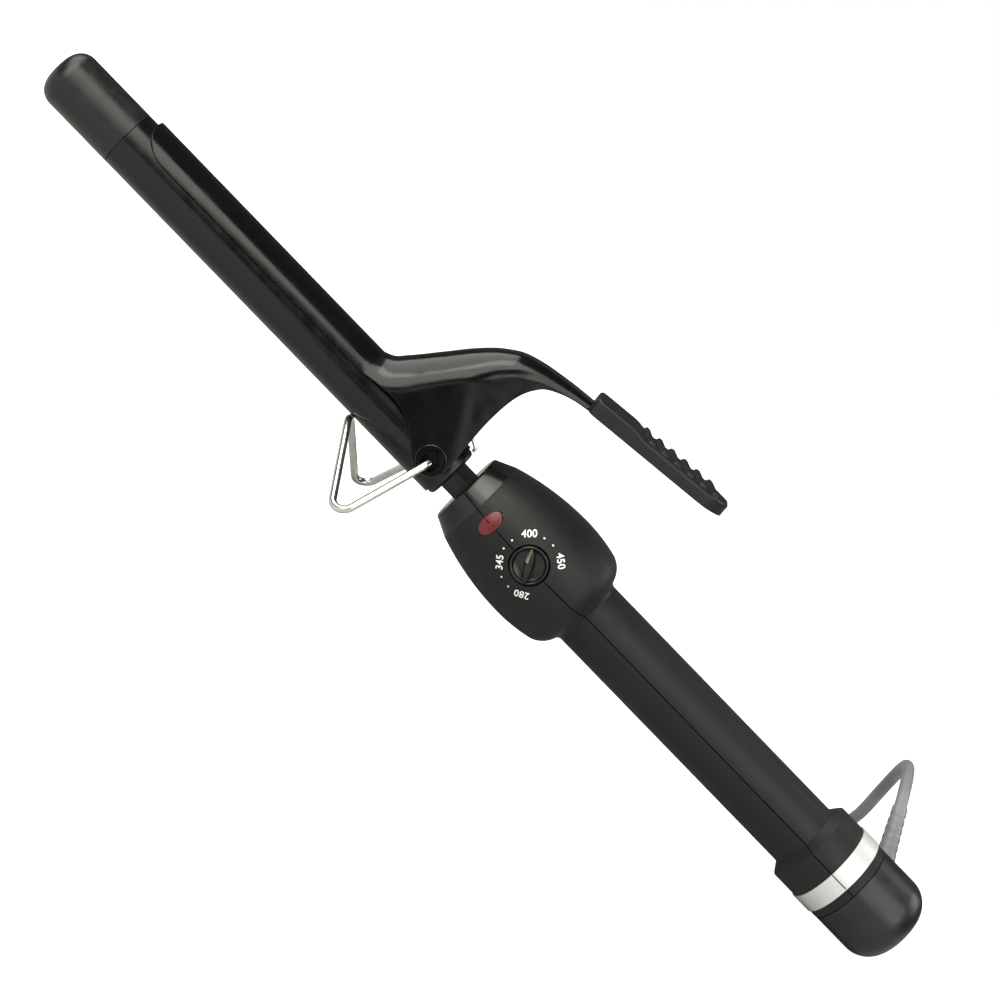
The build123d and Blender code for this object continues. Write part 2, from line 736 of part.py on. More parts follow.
def make_swivel_cap():
    """Domed end cap that turns with the cord."""
    start = shell_end_x + swivel_gap
    cap = cylinder_x(start, swivel_cap_end_x - 0.5, swivel_cap_radius)
    cap = fillet(cap.edges().sort_by(Axis.X)[-1:], swivel_cap_corner)
    cap += cylinder_x(swivel_cap_end_x - 2, swivel_cap_end_x, 4.0)
    cavity = cylinder_x(start, swivel_cap_end_x - 2.4, swivel_cap_radius - swivel_cap_wall)
    cavity = fillet(cavity.edges().sort_by(Axis.X)[-1:], swivel_cap_corner - swivel_cap_wall)
    cap -= cavity
    hole = boot_plane(0) * Circle(boot_base_radius - 0.6)
    return cap - extrude(hole, 30)


def make_swivel_spool():
    """Insulating spool: it is held behind the shells' rear wall and keyed into the cap."""
    wall_front = shell_end_x - shell_wall
    spool = cylinder_x(wall_front - 10.5, wall_front - part_gap, spool_flange_radius - 2.6)
    spool += cylinder_x(wall_front - 2.0, wall_front - part_gap, spool_flange_radius)
    spool += cylinder_x(wall_front - part_gap, shell_end_x + swivel_gap + 1, spool_neck_radius)
    spool += cylinder_x(shell_end_x + swivel_gap, shell_end_x + swivel_gap + 1.4,
                        swivel_cap_radius - swivel_cap_wall - fit_gap)
    return spool - cylinder_x(wall_front - 11, shell_end_x + 4, 2.2)


def brush_places():
    """Where each contact ring starts, counted back from the shells' rear wall."""
    wall_front = shell_end_x - shell_wall
    return (wall_front - 9.6, wall_front - 6.0)


def make_contact_rings():
    rings = []
    for start in brush_places():
        ring = cylinder_x(start, start + contact_width, spool_flange_radius - 1.8)
        ring -= cylinder_x(start, start + contact_width, spool_flange_radius - 2.6)
        rings.append(ring)
    return rings


def make_brush_contacts():
    low = spool_flange_radius - 1.8 + part_gap
    top = collar_radius - shell_wall - part_gap
    brushes = []
    for side, start in zip((1, -1), brush_places()):
        brush = block(start + brush_leaf_inset, start + contact_width - brush_leaf_inset, -1.6, 1.6, low, top)
        brushes.append(brush if side > 0 else mirror(brush, Plane.XY))
    return brushes


def boot_direction():
    lift = math.radians(boot_elevation)
    lean = math.radians(boot_lean)
    return Vector(-math.sin(lean), math.cos(lean) * math.cos(lift), math.cos(lean) * math.sin(lift))


def boot_plane(distance):
    """Plane square to the strain relief, at a distance along it from the cap's axis."""
    origin = Vector(boot_base_x, 0, 0) + boot_direction() * distance
    return Plane(origin=origin, z_dir=boot_direction())


def make_strain_relief():
    """Tapered rubber boot with ring grooves, from inside the cap's wall outwards."""
    grip = loft([boot_plane(boot_start) * Circle(boot_base_radius),
                 boot_plane(boot_start + boot_length) * Circle(boot_tip_radius)])
    grip -= cylinder_x(shell_end_x, swivel_cap_end_x, swivel_cap_radius)
    root = extrude(boot_plane(boot_start - 4) * Circle(boot_base_radius - 0.65), 6.5)
    boot = grip + root
    for number in range(5):
        start = boot_start + 8 + number * 3.6
        groove = extrude(boot_plane(start) * Circle(6), 1.2)
        core_radius = cord_radius + 0.25
        boot -= groove - extrude(boot_plane(start) * Circle(core_radius), 1.2)
    bore = extrude(boot_plane(boot_start - 5) * Circle(cord_radius - 0.6), boot_length + 4)
    return boot - bore


# ---------------------------------------------------------------- placing on the table

def rest_tilt(stand, cap):
    """Angle between the barrel's axis and the table, found by halving: both the stand's feet
    and the swivel cap's rounded edge touch the table."""
    low, high = 0.0, 12.0
    for _ in range(18):
        middle = (low + high) / 2
        turned_by = Rot(0, middle, 0)
        if (turned_by * stand).bounding_box().min.Z < (turned_by * cap).bounding_box().min.Z:
            low = middle
        else:
            high = middle
    return (low + high) / 2


# Cord route on the table, after the two points that follow the strain relief: measured from
# the hinge, with heights above the table. It ends with a straight run into the hank.
cord_route = [
    (176.5, 58.5, 40.5),
    (182.5, 73.0, 37.5),
    (188.5, 85.5, 27.0),
    (193.0, 96.0, 14.0),
    (193.0, 108.5, 4.8),
    (184.5, 119.5, 2.4),
    (170.0, 123.5, 2.2),
    (155.5, 120.0, 2.4),
    (143.5, 116.2, 2.3),
    (132.0, 114.2, 2.2),
]


def cord_points(table_z):
    """All points of the free cord, from the strain relief's mouth to the hank."""
    mouth = onto_table(Vertex(*boot_plane(boot_start + boot_length).origin)).center()
    ahead = onto_table(Vertex(*boot_plane(boot_start + boot_length + 12).origin)).center()
    rest = [(x, y, z + table_z) for x, y, z in cord_route]
    entry = (hank_entry_x, hank_centre_y + hank_outer_fold, table_z + cord_floor)
    return [tuple(mouth), tuple(ahead)] + rest + [entry]


def bend_radii(points):
    """Largest arc that the two runs beside each corner allow."""
    radii = []
    for before, here, after in zip(points, points[1:], points[2:]):
        run_in = Vector(*here) - Vector(*before)
        run_out = Vector(*after) - Vector(*here)
        half_turn = math.radians(run_in.get_angle(run_out)) / 2
        radii.append(0.45 * min(run_in.length, run_out.length) / math.tan(half_turn))
    return radii


def make_cord(points):
    radii = bend_radii(points)
    print("cord bend radii", [round(radius, 1) for radius in radii])
    path = FilletPolyline(*points, radius=radii)
    direction = Vector(*points[1]) - Vector(*points[0])
    tube = sweep(Plane(origin=points[0], z_dir=direction) * Circle(cord_radius), path=path)
    length = sum(edge.length for edge in path.edges())
    print("cord length", round(length, 1), "volume ratio",
          round(tube.volume / (length * math.pi * cord_radius ** 2), 4))
    return tube


def hank_outline(fold_radius):
    """Oval of the hank's turns: two straight sides along X and two round ends."""
    return SlotCenterToCenter(hank_straight, 2 * fold_radius)


def make_hank(table_z):
    """Outer shape of the oval hank, with the straight cord that enters it and the one that
    leaves it for the plug."""
    base = Pos(hank_centre_x, hank_centre_y, table_z)
    ring = hank_outline(hank_outer_fold + hank_pitch / 2) - hank_outline(hank_fold_radius - hank_pitch / 2)
    hank = extrude(base * ring, hank_height)
    far_y = hank_centre_y + hank_outer_fold
    near_y = hank_centre_y - hank_outer_fold
    hank += cylinder_x(hank_centre_x, hank_entry_x, cord_radius, far_y, table_z + cord_floor)
    return hank + cylinder_x(hank_centre_x, plug_tail_x, cord_radius, near_y, table_z + cord_top)


def make_tie(table_z):
    """Two bands, one round each straight side of the hank."""
    ties = []
    across = (hank_turns_across * hank_pitch) / 2
    middle = hank_fold_radius - hank_pitch / 2 + across
    for side in (-1, 1):
        y = hank_centre_y + side * middle
        place = Plane(origin=(hank_centre_x - tie_width / 2, y, table_z + hank_height / 2),
                      x_dir=(0, 1, 0), z_dir=(1, 0, 0))
        outer = Rectangle(2 * across + 2 * tie_thickness, hank_height + 2 * tie_thickness)
        inner = Rectangle(2 * across, hank_height)
        band = extrude(place * (outer - inner), tie_width)
        ties.append(band & block(0, 400, 0, 200, table_z, table_z + 60))
    return ties


def make_plug_body(table_z):
    """Two-blade plug that lies flat behind the hank."""
    y = hank_centre_y - hank_outer_fold
    z = table_z + plug_height / 2
    middle_x = plug_tail_x + plug_length * 0.5
    nose_x = plug_tail_x + plug_length
    start = Plane(origin=(middle_x, y, z), x_dir=(0, 1, 0), z_dir=(1, 0, 0))
    tail = Plane(origin=(plug_tail_x, y, table_z + cord_top), x_dir=(0, 1, 0), z_dir=(1, 0, 0))
    body = extrude(start * RectangleRounded(plug_width, plug_height, 5.0), nose_x - middle_x)
    body += loft([tail * RectangleRounded(7.0, 7.0, 3.2),
                  start * RectangleRounded(plug_width, plug_height, 5.0)])
    for side in (-1, 1):
        blade_y = y + side * blade_spacing / 2
        body -= block(nose_x - 6, nose_x + 1, blade_y - 0.8, blade_y + 0.8, z - 3.2, z + 3.2)
    return body


def make_plug_blades(table_z):
    y = hank_centre_y - hank_outer_fold
    z = table_z + plug_height / 2
    nose_x = plug_tail_x + plug_length
    blades = []
    for side in (-1, 1):
        blade_y = y + side * blade_spacing / 2
        blade = block(nose_x - 6, nose_x + blade_length, blade_y - 0.75, blade_y + 0.75, z - 3.15, z + 3.15)
        blade -= cylinder_y(blade_y - 2, blade_y + 2, 1.6, x=nose_x + blade_length * 0.75, z=z)
        blades.append(blade)
    return blades


# ---------------------------------------------------------------- building

def build_iron():
    casing = make_shell_body() - front_cap_zone()
    return {
        "barrel_tube": make_barrel_tube(),
        "tip_cap": make_tip_cap(),
        "heater_core": make_heater_core(),
        "heat_spreader_upper": make_heat_spreader(1),
        "heat_spreader_lower": make_heat_spreader(-1),
        "thermistor": make_thermistor(),
        "base_bracket": make_base_bracket(),
        "base_collar": make_base_collar(),
        "pivot_rivets": make_pivot_rivets(),
        "stand_wire": make_stand_wire(),
        "clamp_spring": make_clamp_spring(),
        "spring_pin": make_spring_pin(),
        "spring_bracket": make_spring_bracket(),
        "clamp_lever": make_clamp_lever(),
        "thumb_rest": make_thumb_rest(),
        "thumb_rest_base": make_thumb_rest_base(),
        "thumb_rest_screws": make_thumb_rest_screws(),
        "support_stem": make_support_stem(),
        "neck_sleeve": make_neck(),
        "front_cap_upper": make_front_cap(upper_half()),
        "front_cap_lower": make_front_cap(lower_half()),
        "handle_upper_shell": casing & upper_half(),
        "handle_lower_shell": casing & lower_half(),
        "shell_screws": make_shell_screws(),
        "dial_knob": make_dial_knob(),
        "dial_shaft": make_dial_shaft(),
        "potentiometer": make_potentiometer(),
        "circuit_board": make_circuit_board(),
        "indicator_lens": make_indicator_lens(),
        "neon_lamp": make_neon_lamp(),
        "heater_leads": make_heater_leads(),
        "supply_leads": make_supply_leads(),
        "trim_ring": make_trim_ring(),
        "swivel_cap": make_swivel_cap(),
        "swivel_spool": make_swivel_spool(),
        "contact_rings": make_contact_rings(),
        "brush_contacts": make_brush_contacts(),
        "strain_relief": make_strain_relief(),
    }


def as_one(shape):
    return Compound(children=list(shape)) if isinstance(shape, list) else shape


pieces = build_iron()
tilt = rest_tilt(pieces["stand_wire"], pieces["swivel_cap"])


def onto_table(shape):
    return Rot(0, tilt, 0) * shape


iron = {name: onto_table(as_one(shape)) for name, shape in pieces.items()}
resting = [shape for name, shape in iron.items() if name != "strain_relief"]
iron_box = Compound(children=[Compound(shape.solids()) for shape in resting]).bounding_box()
table_z = iron_box.min.Z
points = cord_points(table_z)
loose = {
    "cord": make_cord(points),
    "cord_hank": make_hank(table_z),
    "cord_tie": as_one(make_tie(table_z)),
    "plug_body": make_plug_body(table_z),
    "plug_blades": as_one(make_plug_blades(table_z)),
}
to_origin = Pos(-iron_box.center().X, 0, -table_z)
print("cord route", [[round(value, 1) for value in Vector(*point) + to_origin.position] for point in points])
print("tilt", round(tilt, 3), "hinge at", tuple(round(value, 4) for value in to_origin.position))
print("box", iron_box.size)

os.makedirs("parts", exist_ok=True)
for name, shape in {**iron, **loose}.items():
    export_step(to_origin * shape, f"parts/{name}.step")
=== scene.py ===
import bpy
import bmesh
import json
import math
from mathutils import Matrix, Vector
from mathutils.bvhtree import BVHTree


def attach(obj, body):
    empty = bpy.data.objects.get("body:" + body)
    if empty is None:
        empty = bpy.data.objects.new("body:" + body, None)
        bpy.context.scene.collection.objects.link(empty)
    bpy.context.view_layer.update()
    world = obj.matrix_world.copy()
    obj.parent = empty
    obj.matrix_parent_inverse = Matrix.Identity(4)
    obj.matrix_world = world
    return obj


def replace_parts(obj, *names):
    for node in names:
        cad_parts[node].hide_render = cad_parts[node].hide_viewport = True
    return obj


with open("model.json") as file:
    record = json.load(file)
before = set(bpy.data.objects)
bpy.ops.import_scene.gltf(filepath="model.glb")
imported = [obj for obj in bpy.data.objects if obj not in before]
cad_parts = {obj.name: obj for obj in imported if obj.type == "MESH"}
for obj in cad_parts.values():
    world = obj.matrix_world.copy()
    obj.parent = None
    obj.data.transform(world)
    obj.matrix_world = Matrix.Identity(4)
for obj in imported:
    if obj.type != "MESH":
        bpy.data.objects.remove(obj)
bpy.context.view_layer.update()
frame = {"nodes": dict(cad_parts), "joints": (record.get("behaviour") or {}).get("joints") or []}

# The iron is drawn in millimetres about the barrel's own axis: x from tip to handle,
# y across, z towards the thumb lever, with the hinge at zero. ironPlace puts it on the table.
joints = {joint["name"]: joint for joint in frame["joints"]}
hinge = Vector(joints["clamp_hinge"]["pos_m"])
barrelAxis = Vector(joints["swivel_turn"]["axis"]).normalized()
sideAxis = Vector((0, 1, 0))
leverAxis = barrelAxis.cross(sideAxis).normalized()
mm = 0.001
ironTurn = Matrix((barrelAxis, sideAxis, leverAxis)).transposed()
ironPlace = Matrix.Translation(hinge) @ ironTurn.to_4x4() @ Matrix.Scale(mm, 4)


def onIron(x, y, z):
    return ironPlace @ Vector((x, y, z))


def addPiece(name, data):
    piece = bpy.data.objects.new(name, data)
    bpy.context.scene.collection.objects.link(piece)
    return piece


# ---- camera

camera = {"yaw": 3.45, "elevation": 10.5, "distance": 763, "aim": (23.4, 0, 4.85),
          "lens": 90.7, "turn": 45.92}


def makeCamera():
    yaw = math.radians(camera["yaw"])
    lift = math.radians(camera["elevation"])
    ahead = Vector((math.sin(yaw) * math.cos(lift), math.cos(yaw) * math.cos(lift), -math.sin(lift)))
    along = Vector((1, 0, 0))
    level = (along - along.dot(ahead) * ahead).normalized()
    above = level.cross(ahead)
    roll = math.radians(camera["turn"])
    right = level * math.cos(roll) + above * math.sin(roll)
    up = above * math.cos(roll) - level * math.sin(roll)
    spot = onIron(*(Vector(camera["aim"]) - ahead * camera["distance"]))
    turn = Matrix((ironTurn @ right, ironTurn @ up, ironTurn @ -ahead)).transposed()
    data = bpy.data.cameras.new("studioCamera")
    data.lens = camera["lens"]
    data.sensor_width = 36
    data.clip_start = 0.01
    data.clip_end = 50
    holder = addPiece("studioCamera", data)
    holder.matrix_world = Matrix.Translation(spot) @ turn.to_4x4()
    bpy.context.scene.camera = holder


makeCamera()
print("camera set")


def linear(hexColour):
    # sRGB hex to the linear colour that a shader takes
    parts = [int(hexColour[place:place + 2], 16) / 255 for place in (1, 3, 5)]
    return [part / 12.92 if part <= 0.04045 else ((part + 0.055) / 1.055) ** 2.4
            for part in parts] + [1.0]


def addNode(tree, kind, settings=None, links=None):
    node = tree.nodes.new(kind)
    for name, value in (settings or {}).items():
        if name in node.inputs:
            node.inputs[name].default_value = value
        else:
            setattr(node, name, value)
    for name, source in (links or {}).items():
        tree.links.new(source, node.inputs[name])
    return node


# ---- materials

def newSurface(name):
    material = bpy.data.materials.new(name)
    material.use_nodes = True
    tree = material.node_tree
    shader = tree.nodes["Principled BSDF"]
    place = addNode(tree, "ShaderNodeTexCoord").outputs["Object"]
    return material, tree, shader, place


def patches(tree, place, size, detail):
    # noise whose patches are the given size in mm
    return addNode(tree, "ShaderNodeTexNoise", {"Scale": 1 / (size * mm), "Detail": detail},
                   {"Vector": place})


def vary(tree, place, shader, size, low, high, detail=4.0):
    # roughness that drifts between two values over patches of the given size in mm
    noise = patches(tree, place, size, detail)
    spread = addNode(tree, "ShaderNodeMapRange",
                     {"From Min": 0.3, "From Max": 0.7, "To Min": low, "To Max": high},
                     {"Value": noise.outputs["Fac"]})
    tree.links.new(spread.outputs["Result"], shader.inputs["Roughness"])
    return noise


def tint(tree, place, shader, size, first, second, detail=3.0):
    # two near colours in patches of the given size in mm
    noise = patches(tree, place, size, detail)
    spread = addNode(tree, "ShaderNodeMapRange", {"From Min": 0.35, "From Max": 0.65},
                     {"Value": noise.outputs["Fac"]})
    mix = addNode(tree, "ShaderNodeMixRGB", {"Color1": linear(first), "Color2": linear(second)},
                  {"Fac": spread.outputs["Result"]})
    tree.links.new(mix.outputs["Color"], shader.inputs["Base Color"])


def grain(tree, place, shader, size, height, detail=2.0):
    # bump of a real grain size and height in mm
    noise = patches(tree, place, size, detail)
    bump = addNode(tree, "ShaderNodeBump", {"Strength": 1.0, "Distance": height * mm},
                   {"Height": noise.outputs["Fac"]})
    tree.links.new(bump.outputs["Normal"], shader.inputs["Normal"])


def firedEnamel(name, hexColour, lighter, roughness):
    # gloss black coating sprayed on steel and baked: deep black, faint orange peel
    material, tree, shader, place = newSurface(name)
    tint(tree, place, shader, 14, hexColour, lighter)
    vary(tree, place, shader, 5, roughness * 0.8, roughness * 1.3)
    grain(tree, place, shader, 1.6, 0.004)
    shader.inputs["IOR"].default_value = 1.5
    return material


def polishedAbs(name, hexColour, lighter, roughness):
    # black ABS from a polished mould: soft gloss with hairline handling marks
    material, tree, shader, place = newSurface(name)
    tint(tree, place, shader, 9, hexColour, lighter)
    noise = vary(tree, place, shader, 3, roughness * 0.8, roughness * 1.25, 6.0)
    bump = addNode(tree, "ShaderNodeBump", {"Strength": 0.5, "Distance": 0.006 * mm},
                   {"Height": noise.outputs["Fac"]})
    tree.links.new(bump.outputs["Normal"], shader.inputs["Normal"])
    shader.inputs["IOR"].default_value = 1.53
    return material


def softTouchPaint():
    # rubbery soft-touch paint on ABS: dark, even, a dusty edge sheen and fine spray grain
    # (real grain is near 0.05 mm, drawn at 0.35 mm so that it shows)
    material, tree, shader, place = newSurface("softTouchPaint")
    tint(tree, place, shader, 22, "#0b0d0c", "#0f1110")
    vary(tree, place, shader, 6, 0.46, 0.56)
    grain(tree, place, shader, 0.35, 0.012)
    shader.inputs["IOR"].default_value = 1.42
    shader.inputs["Sheen Weight"].default_value = 0.04
    shader.inputs["Sheen Roughness"].default_value = 0.5
    return material


def mouldedRubber():
    # thermoplastic rubber of the thumb rest: dull black with a spark-eroded grain of 0.4 mm
    material, tree, shader, place = newSurface("mouldedRubber")
    tint(tree, place, shader, 8, "#090a0a", "#0d0e0e")
    vary(tree, place, shader, 3, 0.42, 0.55)
    grain(tree, place, shader, 0.4, 0.014, 4.0)
    return material


def vinylJacket():
    # plasticised vinyl of the cord: semi-matt grey, slight waviness from extrusion
    material, tree, shader, place = newSurface("vinylJacket")
    tint(tree, place, shader, 12, "#6a6c6e", "#7a7c7e")
    vary(tree, place, shader, 4, 0.36, 0.5)
    grain(tree, place, shader, 1.2, 0.01)
    return material


def platedMetal(name, hexColour, second, low, high, scratch):
    # plated or drawn metal: mirror bright with fine drawing lines along the part
    material, tree, shader, place = newSurface(name)
    tint(tree, place, shader, 3, hexColour, second)
    vary(tree, place, shader, 1.5, low, high)
    lines = addNode(tree, "ShaderNodeMapping", {"Scale": (0.08, 1.0, 1.0)}, {"Vector": place})
    noise = patches(tree, lines.outputs["Vector"], 0.25, 3.0)
    bump = addNode(tree, "ShaderNodeBump", {"Strength": 0.6, "Distance": scratch * mm},
                   {"Height": noise.outputs["Fac"]})
    tree.links.new(bump.outputs["Normal"], shader.inputs["Normal"])
    shader.inputs["Metallic"].default_value = 1.0
    return material


def satinSilver():
    # metallic lacquer on the trim ring: fine flakes under a satin clear coat
    material, tree, shader, place = newSurface("satinSilver")
    tint(tree, place, shader, 0.3, "#d6d8d9", "#e6e7e8")
    vary(tree, place, shader, 1, 0.34, 0.44)
    grain(tree, place, shader, 0.25, 0.004)
    shader.inputs["Metallic"].default_value = 0.55
    return material


def redLens():
    # red styrene over a neon lamp: deep, nearly even colour under a soft gloss
    material, tree, shader, place = newSurface("redLens")
    tint(tree, place, shader, 6, "#641a21", "#70232b", 1.0)
    vary(tree, place, shader, 1.2, 0.26, 0.32)
    shader.inputs["Transmission Weight"].default_value = 0.08
    shader.inputs["IOR"].default_value = 1.5
    return material


def insulator(name, hexColour, second, roughness):
    # uncoloured or dyed inner mouldings, ceramic and laminate, and the dial bar's painted warm
    # highlight: matt, lightly mottled
    material, tree, shader, place = newSurface(name)
    tint(tree, place, shader, 2, hexColour, second)
    vary(tree, place, shader, 1, roughness * 0.9, roughness * 1.1)
    grain(tree, place, shader, 0.3, 0.01)
    return material


def lampGlass():
    # thin soda-lime envelope of the neon lamp
    material, tree, shader, place = newSurface("lampGlass")
    vary(tree, place, shader, 2, 0.02, 0.06)
    shader.inputs["Base Color"].default_value = linear("#f3c7bb")
    shader.inputs["Transmission Weight"].default_value = 0.9
    shader.inputs["IOR"].default_value = 1.5
    return material


def printInk():
    # white pad-printed ink of the dial's figures, a little uneven
    material, tree, shader, place = newSurface("padPrintInk")
    tint(tree, place, shader, 0.5, "#e9eae9", "#ffffff")
    vary(tree, place, shader, 0.8, 0.45, 0.6)
    return material


def seamShadow():
    # the bottom of a narrow seam, where next to no light returns
    material, tree, shader, place = newSurface("seamShadow")
    tint(tree, place, shader, 2, "#010101", "#040404")
    vary(tree, place, shader, 2, 0.85, 0.95)
    shader.inputs["Specular IOR Level"].default_value = 0.05
    return material


materials = {
    "barrel": firedEnamel("barrelEnamel", "#050606", "#080909", 0.2),
    "clip": firedEnamel("clipEnamel", "#040505", "#070808", 0.16),
    "tip": polishedAbs("tipAbs", "#0d0f0e", "#131514", 0.34),
    "cap": polishedAbs("capAbs", "#121415", "#181a1b", 0.34),
    "knob": polishedAbs("knobAbs", "#0c0d0d", "#121313", 0.24),
    "nose": polishedAbs("noseAbs", "#101211", "#151716", 0.2),
    "soft": softTouchPaint(),
    "rubber": mouldedRubber(),
    "vinyl": vinylJacket(),
    "wire": platedMetal("nickelWire", "#e4e3df", "#f6f5f2", 0.16, 0.26, 0.006),
    "steel": platedMetal("pressedSteel", "#9c9c9a", "#b3b3b0", 0.28, 0.4, 0.01),
    "rivet": platedMetal("blackedRivet", "#1f2020", "#2b2c2c", 0.22, 0.34, 0.008),
    "brass": platedMetal("rolledBrass", "#b08d4a", "#c6a564", 0.2, 0.32, 0.008),
    "alloy": platedMetal("extrudedAluminium", "#b9babb", "#cccdce", 0.3, 0.42, 0.012),
    "blade": platedMetal("platedBlade", "#c9c4b4", "#dcd8ca", 0.14, 0.24, 0.006),
    "silver": satinSilver(),
    "lens": redLens(),
    "lamp": lampGlass(),
    "ink": printInk(),
    # warm pale colour on one flank of the dial bar: a painted highlight
    "flankHighlight": insulator("paintedFlankHighlight", "#6d624f", "#8b7d66", 0.35),
    # near-black strips laid in the casing's seams: painted shade
    "gap": seamShadow(),
    # lighter grey enamel on the sheet's cut edge: a painted highlight
    "edge": firedEnamel("edgeHighlightEnamel", "#2c2d2d", "#3b3c3c", 0.3),
    "ivory": insulator("ivoryNylon", "#cfc7ab", "#dbd4bb", 0.5),
    "ceramic": insulator("firedCeramic", "#dcd9cf", "#e9e6dd", 0.6),
    "board": insulator("boardLaminate", "#1f5a33", "#2a6b3f", 0.4),
    "sleeve": insulator("wovenSleeve", "#a39770", "#b9ae88", 0.7),
}
print("materials made", len(materials))

nodeFinish = {
    "barrel": ["barrel_tube"],
    "tip": ["tip_cap", "base_collar", "neck_sleeve"],
    "nose": ["front_cap_upper", "front_cap_lower"],
    "soft": ["handle_upper_shell", "handle_lower_shell"],
    "cap": ["swivel_cap"],
    "silver": ["trim_ring"],
    "wire": ["stand_wire", "clamp_spring"],
    "rivet": ["pivot_rivets"],
    "steel": ["base_bracket", "spring_pin", "spring_bracket", "support_stem", "shell_screws",
              "thumb_rest_screws", "potentiometer"],
    "rubber": ["thumb_rest_base"],
    "alloy": ["heat_spreader_upper", "heat_spreader_lower"],
    "ceramic": ["heater_core", "thermistor"],
    "brass": ["contact_rings", "brush_contacts"],
    "board": ["circuit_board"],
    "sleeve": ["heater_leads", "supply_leads"],
    "ivory": ["dial_shaft", "swivel_spool"],
    "lamp": ["neon_lamp"],
    "blade": ["plug_blades"],
}


def paintNodes():
    for finish, names in nodeFinish.items():
        for name in names:
            data = frame["nodes"][name].data
            data.materials.clear()
            data.materials.append(materials[finish])


paintNodes()


# ---- mesh helpers

mergeGap = 0.0005  # points closer than this become one, in the units of the grid


def keepMesh(name, grid):
    data = bpy.data.meshes.new(name)
    grid.to_mesh(data)
    grid.free()
    return data


def finishMesh(name, grid, place, material, body, smooth=40):
    # a grid of points and faces becomes a named piece, put in place and joined to its body
    bmesh.ops.remove_doubles(grid, verts=grid.verts, dist=mergeGap)
    bmesh.ops.recalc_face_normals(grid, faces=grid.faces)
    data = keepMesh(name, grid)
    data.transform(place)
    data.materials.append(material)
    piece = addPiece(name, data)
    data.shade_smooth()
    if smooth:
        data.set_sharp_from_angle(angle=math.radians(smooth))
    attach(piece, body)
    return piece


def skinRows(grid, rows, closed=False):
    # quads between rows of points; closed joins each row's ends
    layers = [[grid.verts.new(point) for point in row] for row in rows]
    for first, second in zip(layers, layers[1:]):
        count = len(first)
        for place in range(count if closed else count - 1):
            after = (place + 1) % count
            grid.faces.new((first[place], first[after], second[after], second[place]))
    return layers


def smoothBetween(points, steps):
    # Catmull-Rom through rows of numbers
    result = []
    last = len(points) - 1
    for number in range(last):
        before = points[max(number - 1, 0)]
        here = points[number]
        after = points[number + 1]
        beyond = points[min(number + 2, last)]
        for step in range(steps):
            t = step / steps
            result.append([0.5 * (2 * b + (c - a) * t + (2 * a - 5 * b + 4 * c - d) * t * t
                                  + (3 * b - a - 3 * c + d) * t ** 3)
                           for a, b, c, d in zip(before, here, after, beyond)])
    result.append(list(points[last]))
    return result


def turnedRows(profile, centre, spin, segments=64):
    # rows of points round an axis, from (distance along it, radius) pairs
    side = spin.cross(Vector((0.3, 0.5, 0.81))).normalized()
    other = spin.cross(side)
    rows = []
    for along, radius in profile:
        row = []
        for number in range(segments):
            angle = 2 * math.pi * number / segments
            reach = (side * math.cos(angle) + other * math.sin(angle)) * radius
            row.append(centre + spin * along + reach)
        rows.append(row)
    return rows


def makeTurned(name, profile, centre, spin, material, body, smooth=35):
    grid = bmesh.new()
    rows = turnedRows(profile, Vector(centre), Vector(spin).normalized())
    layers = skinRows(grid, rows, closed=True)
    for layer in (layers[0], layers[-1]):
        grid.faces.new(layer)
    return finishMesh(name, grid, ironPlace, material, body, smooth)


# ---- cord and hank

cordSizes = {"diameter": 0.0042, "length": 1.45, "sides": 5}
hank = {"centre": (66.863, 88.0), "straight": 27.4, "outer": 26.2, "pitch": 4.35,
        "low": 2.2, "high": 6.6, "endAngle": 30, "inward": 3.0, "turns": 6.5, "perTurn": 12}
cordRoute = [
    (163.7, 33.8, 37.2), (162.0, 42.8, 43.0), (161.0, 55.5, 46.5), (163.5, 69.5, 42.0),
    (167.0, 83.0, 30.0), (170.9, 96.0, 14.0), (170.9, 108.5, 4.8), (162.4, 119.5, 2.4),
    (147.9, 123.5, 2.2), (133.4, 120.0, 2.4), (121.4, 116.2, 2.3), (109.9, 114.2, 2.2),
    (98.9, 114.2, 2.2),
]
cordTail = [(84.0, 59.6, 2.2), (90.5, 60.2, 3.0), (97.0, 61.8, 5.4), (103.5, 61.8, 6.6)]


def hankTurns():
    # three turns inwards on the table, three back outwards on top of them, and half a turn out
    points = []
    inward = hank["inward"]
    step = 1 / hank["perTurn"]
    for number in range(int(hank["turns"] / step)):
        turn = (number + 0.5) * step
        radius = hank["outer"] - hank["pitch"] * (turn if turn < inward else 2 * inward - turn)
        rise = min(1.0, max(0.0, (turn - inward + 0.12) / 0.25))
        drop = min(1.0, max(0.0, (turn - 2 * inward) / 0.3))
        height = hank["low"] + (hank["high"] - hank["low"]) * (rise - drop)
        angle = math.radians(90 + hank["endAngle"] * (number + 0.5))
        end = -1 if math.cos(angle) < 0 else 1
        reach = radius / math.cos(math.radians(hank["endAngle"] / 2))
        points.append((hank["centre"][0] + end * hank["straight"] / 2 + reach * math.cos(angle),
                       hank["centre"][1] + reach * math.sin(angle), height))
    return points


def makeCord():
    data = bpy.data.curves.new("supplyCord", "CURVE")
    data.dimensions = "3D"
    data.bevel_depth = cordSizes["diameter"] / 2
    data.bevel_resolution = cordSizes["sides"]
    data.use_fill_caps = True
    spline = data.splines.new("NURBS")
    points = cordRoute + hankTurns() + cordTail
    spline.points.add(len(points) - 1)
    for knot, point in zip(spline.points, points):
        knot.co = (point[0] * mm, point[1] * mm, point[2] * mm, 1)
    spline.order_u = 3
    spline.use_endpoint_u = True
    spline.resolution_u = 10
    data.materials.append(materials["vinyl"])
    piece = addPiece("supplyCord", data)
    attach(piece, "swivel")
    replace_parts(piece, "cord", "cord_hank")
    return piece


supplyCord = makeCord()
print("cord laid")

boot = {"base": (192.6, 0, 0), "lift": 33, "lean": 11, "start": 11.5, "end": 41.3, "root": 3.4,
        "tip": 2.5, "leastRadius": 2.15, "steps": 90,
        "grooveStart": 21, "groovePitch": 3.6, "grooves": 5, "grooveDepth": 0.3}


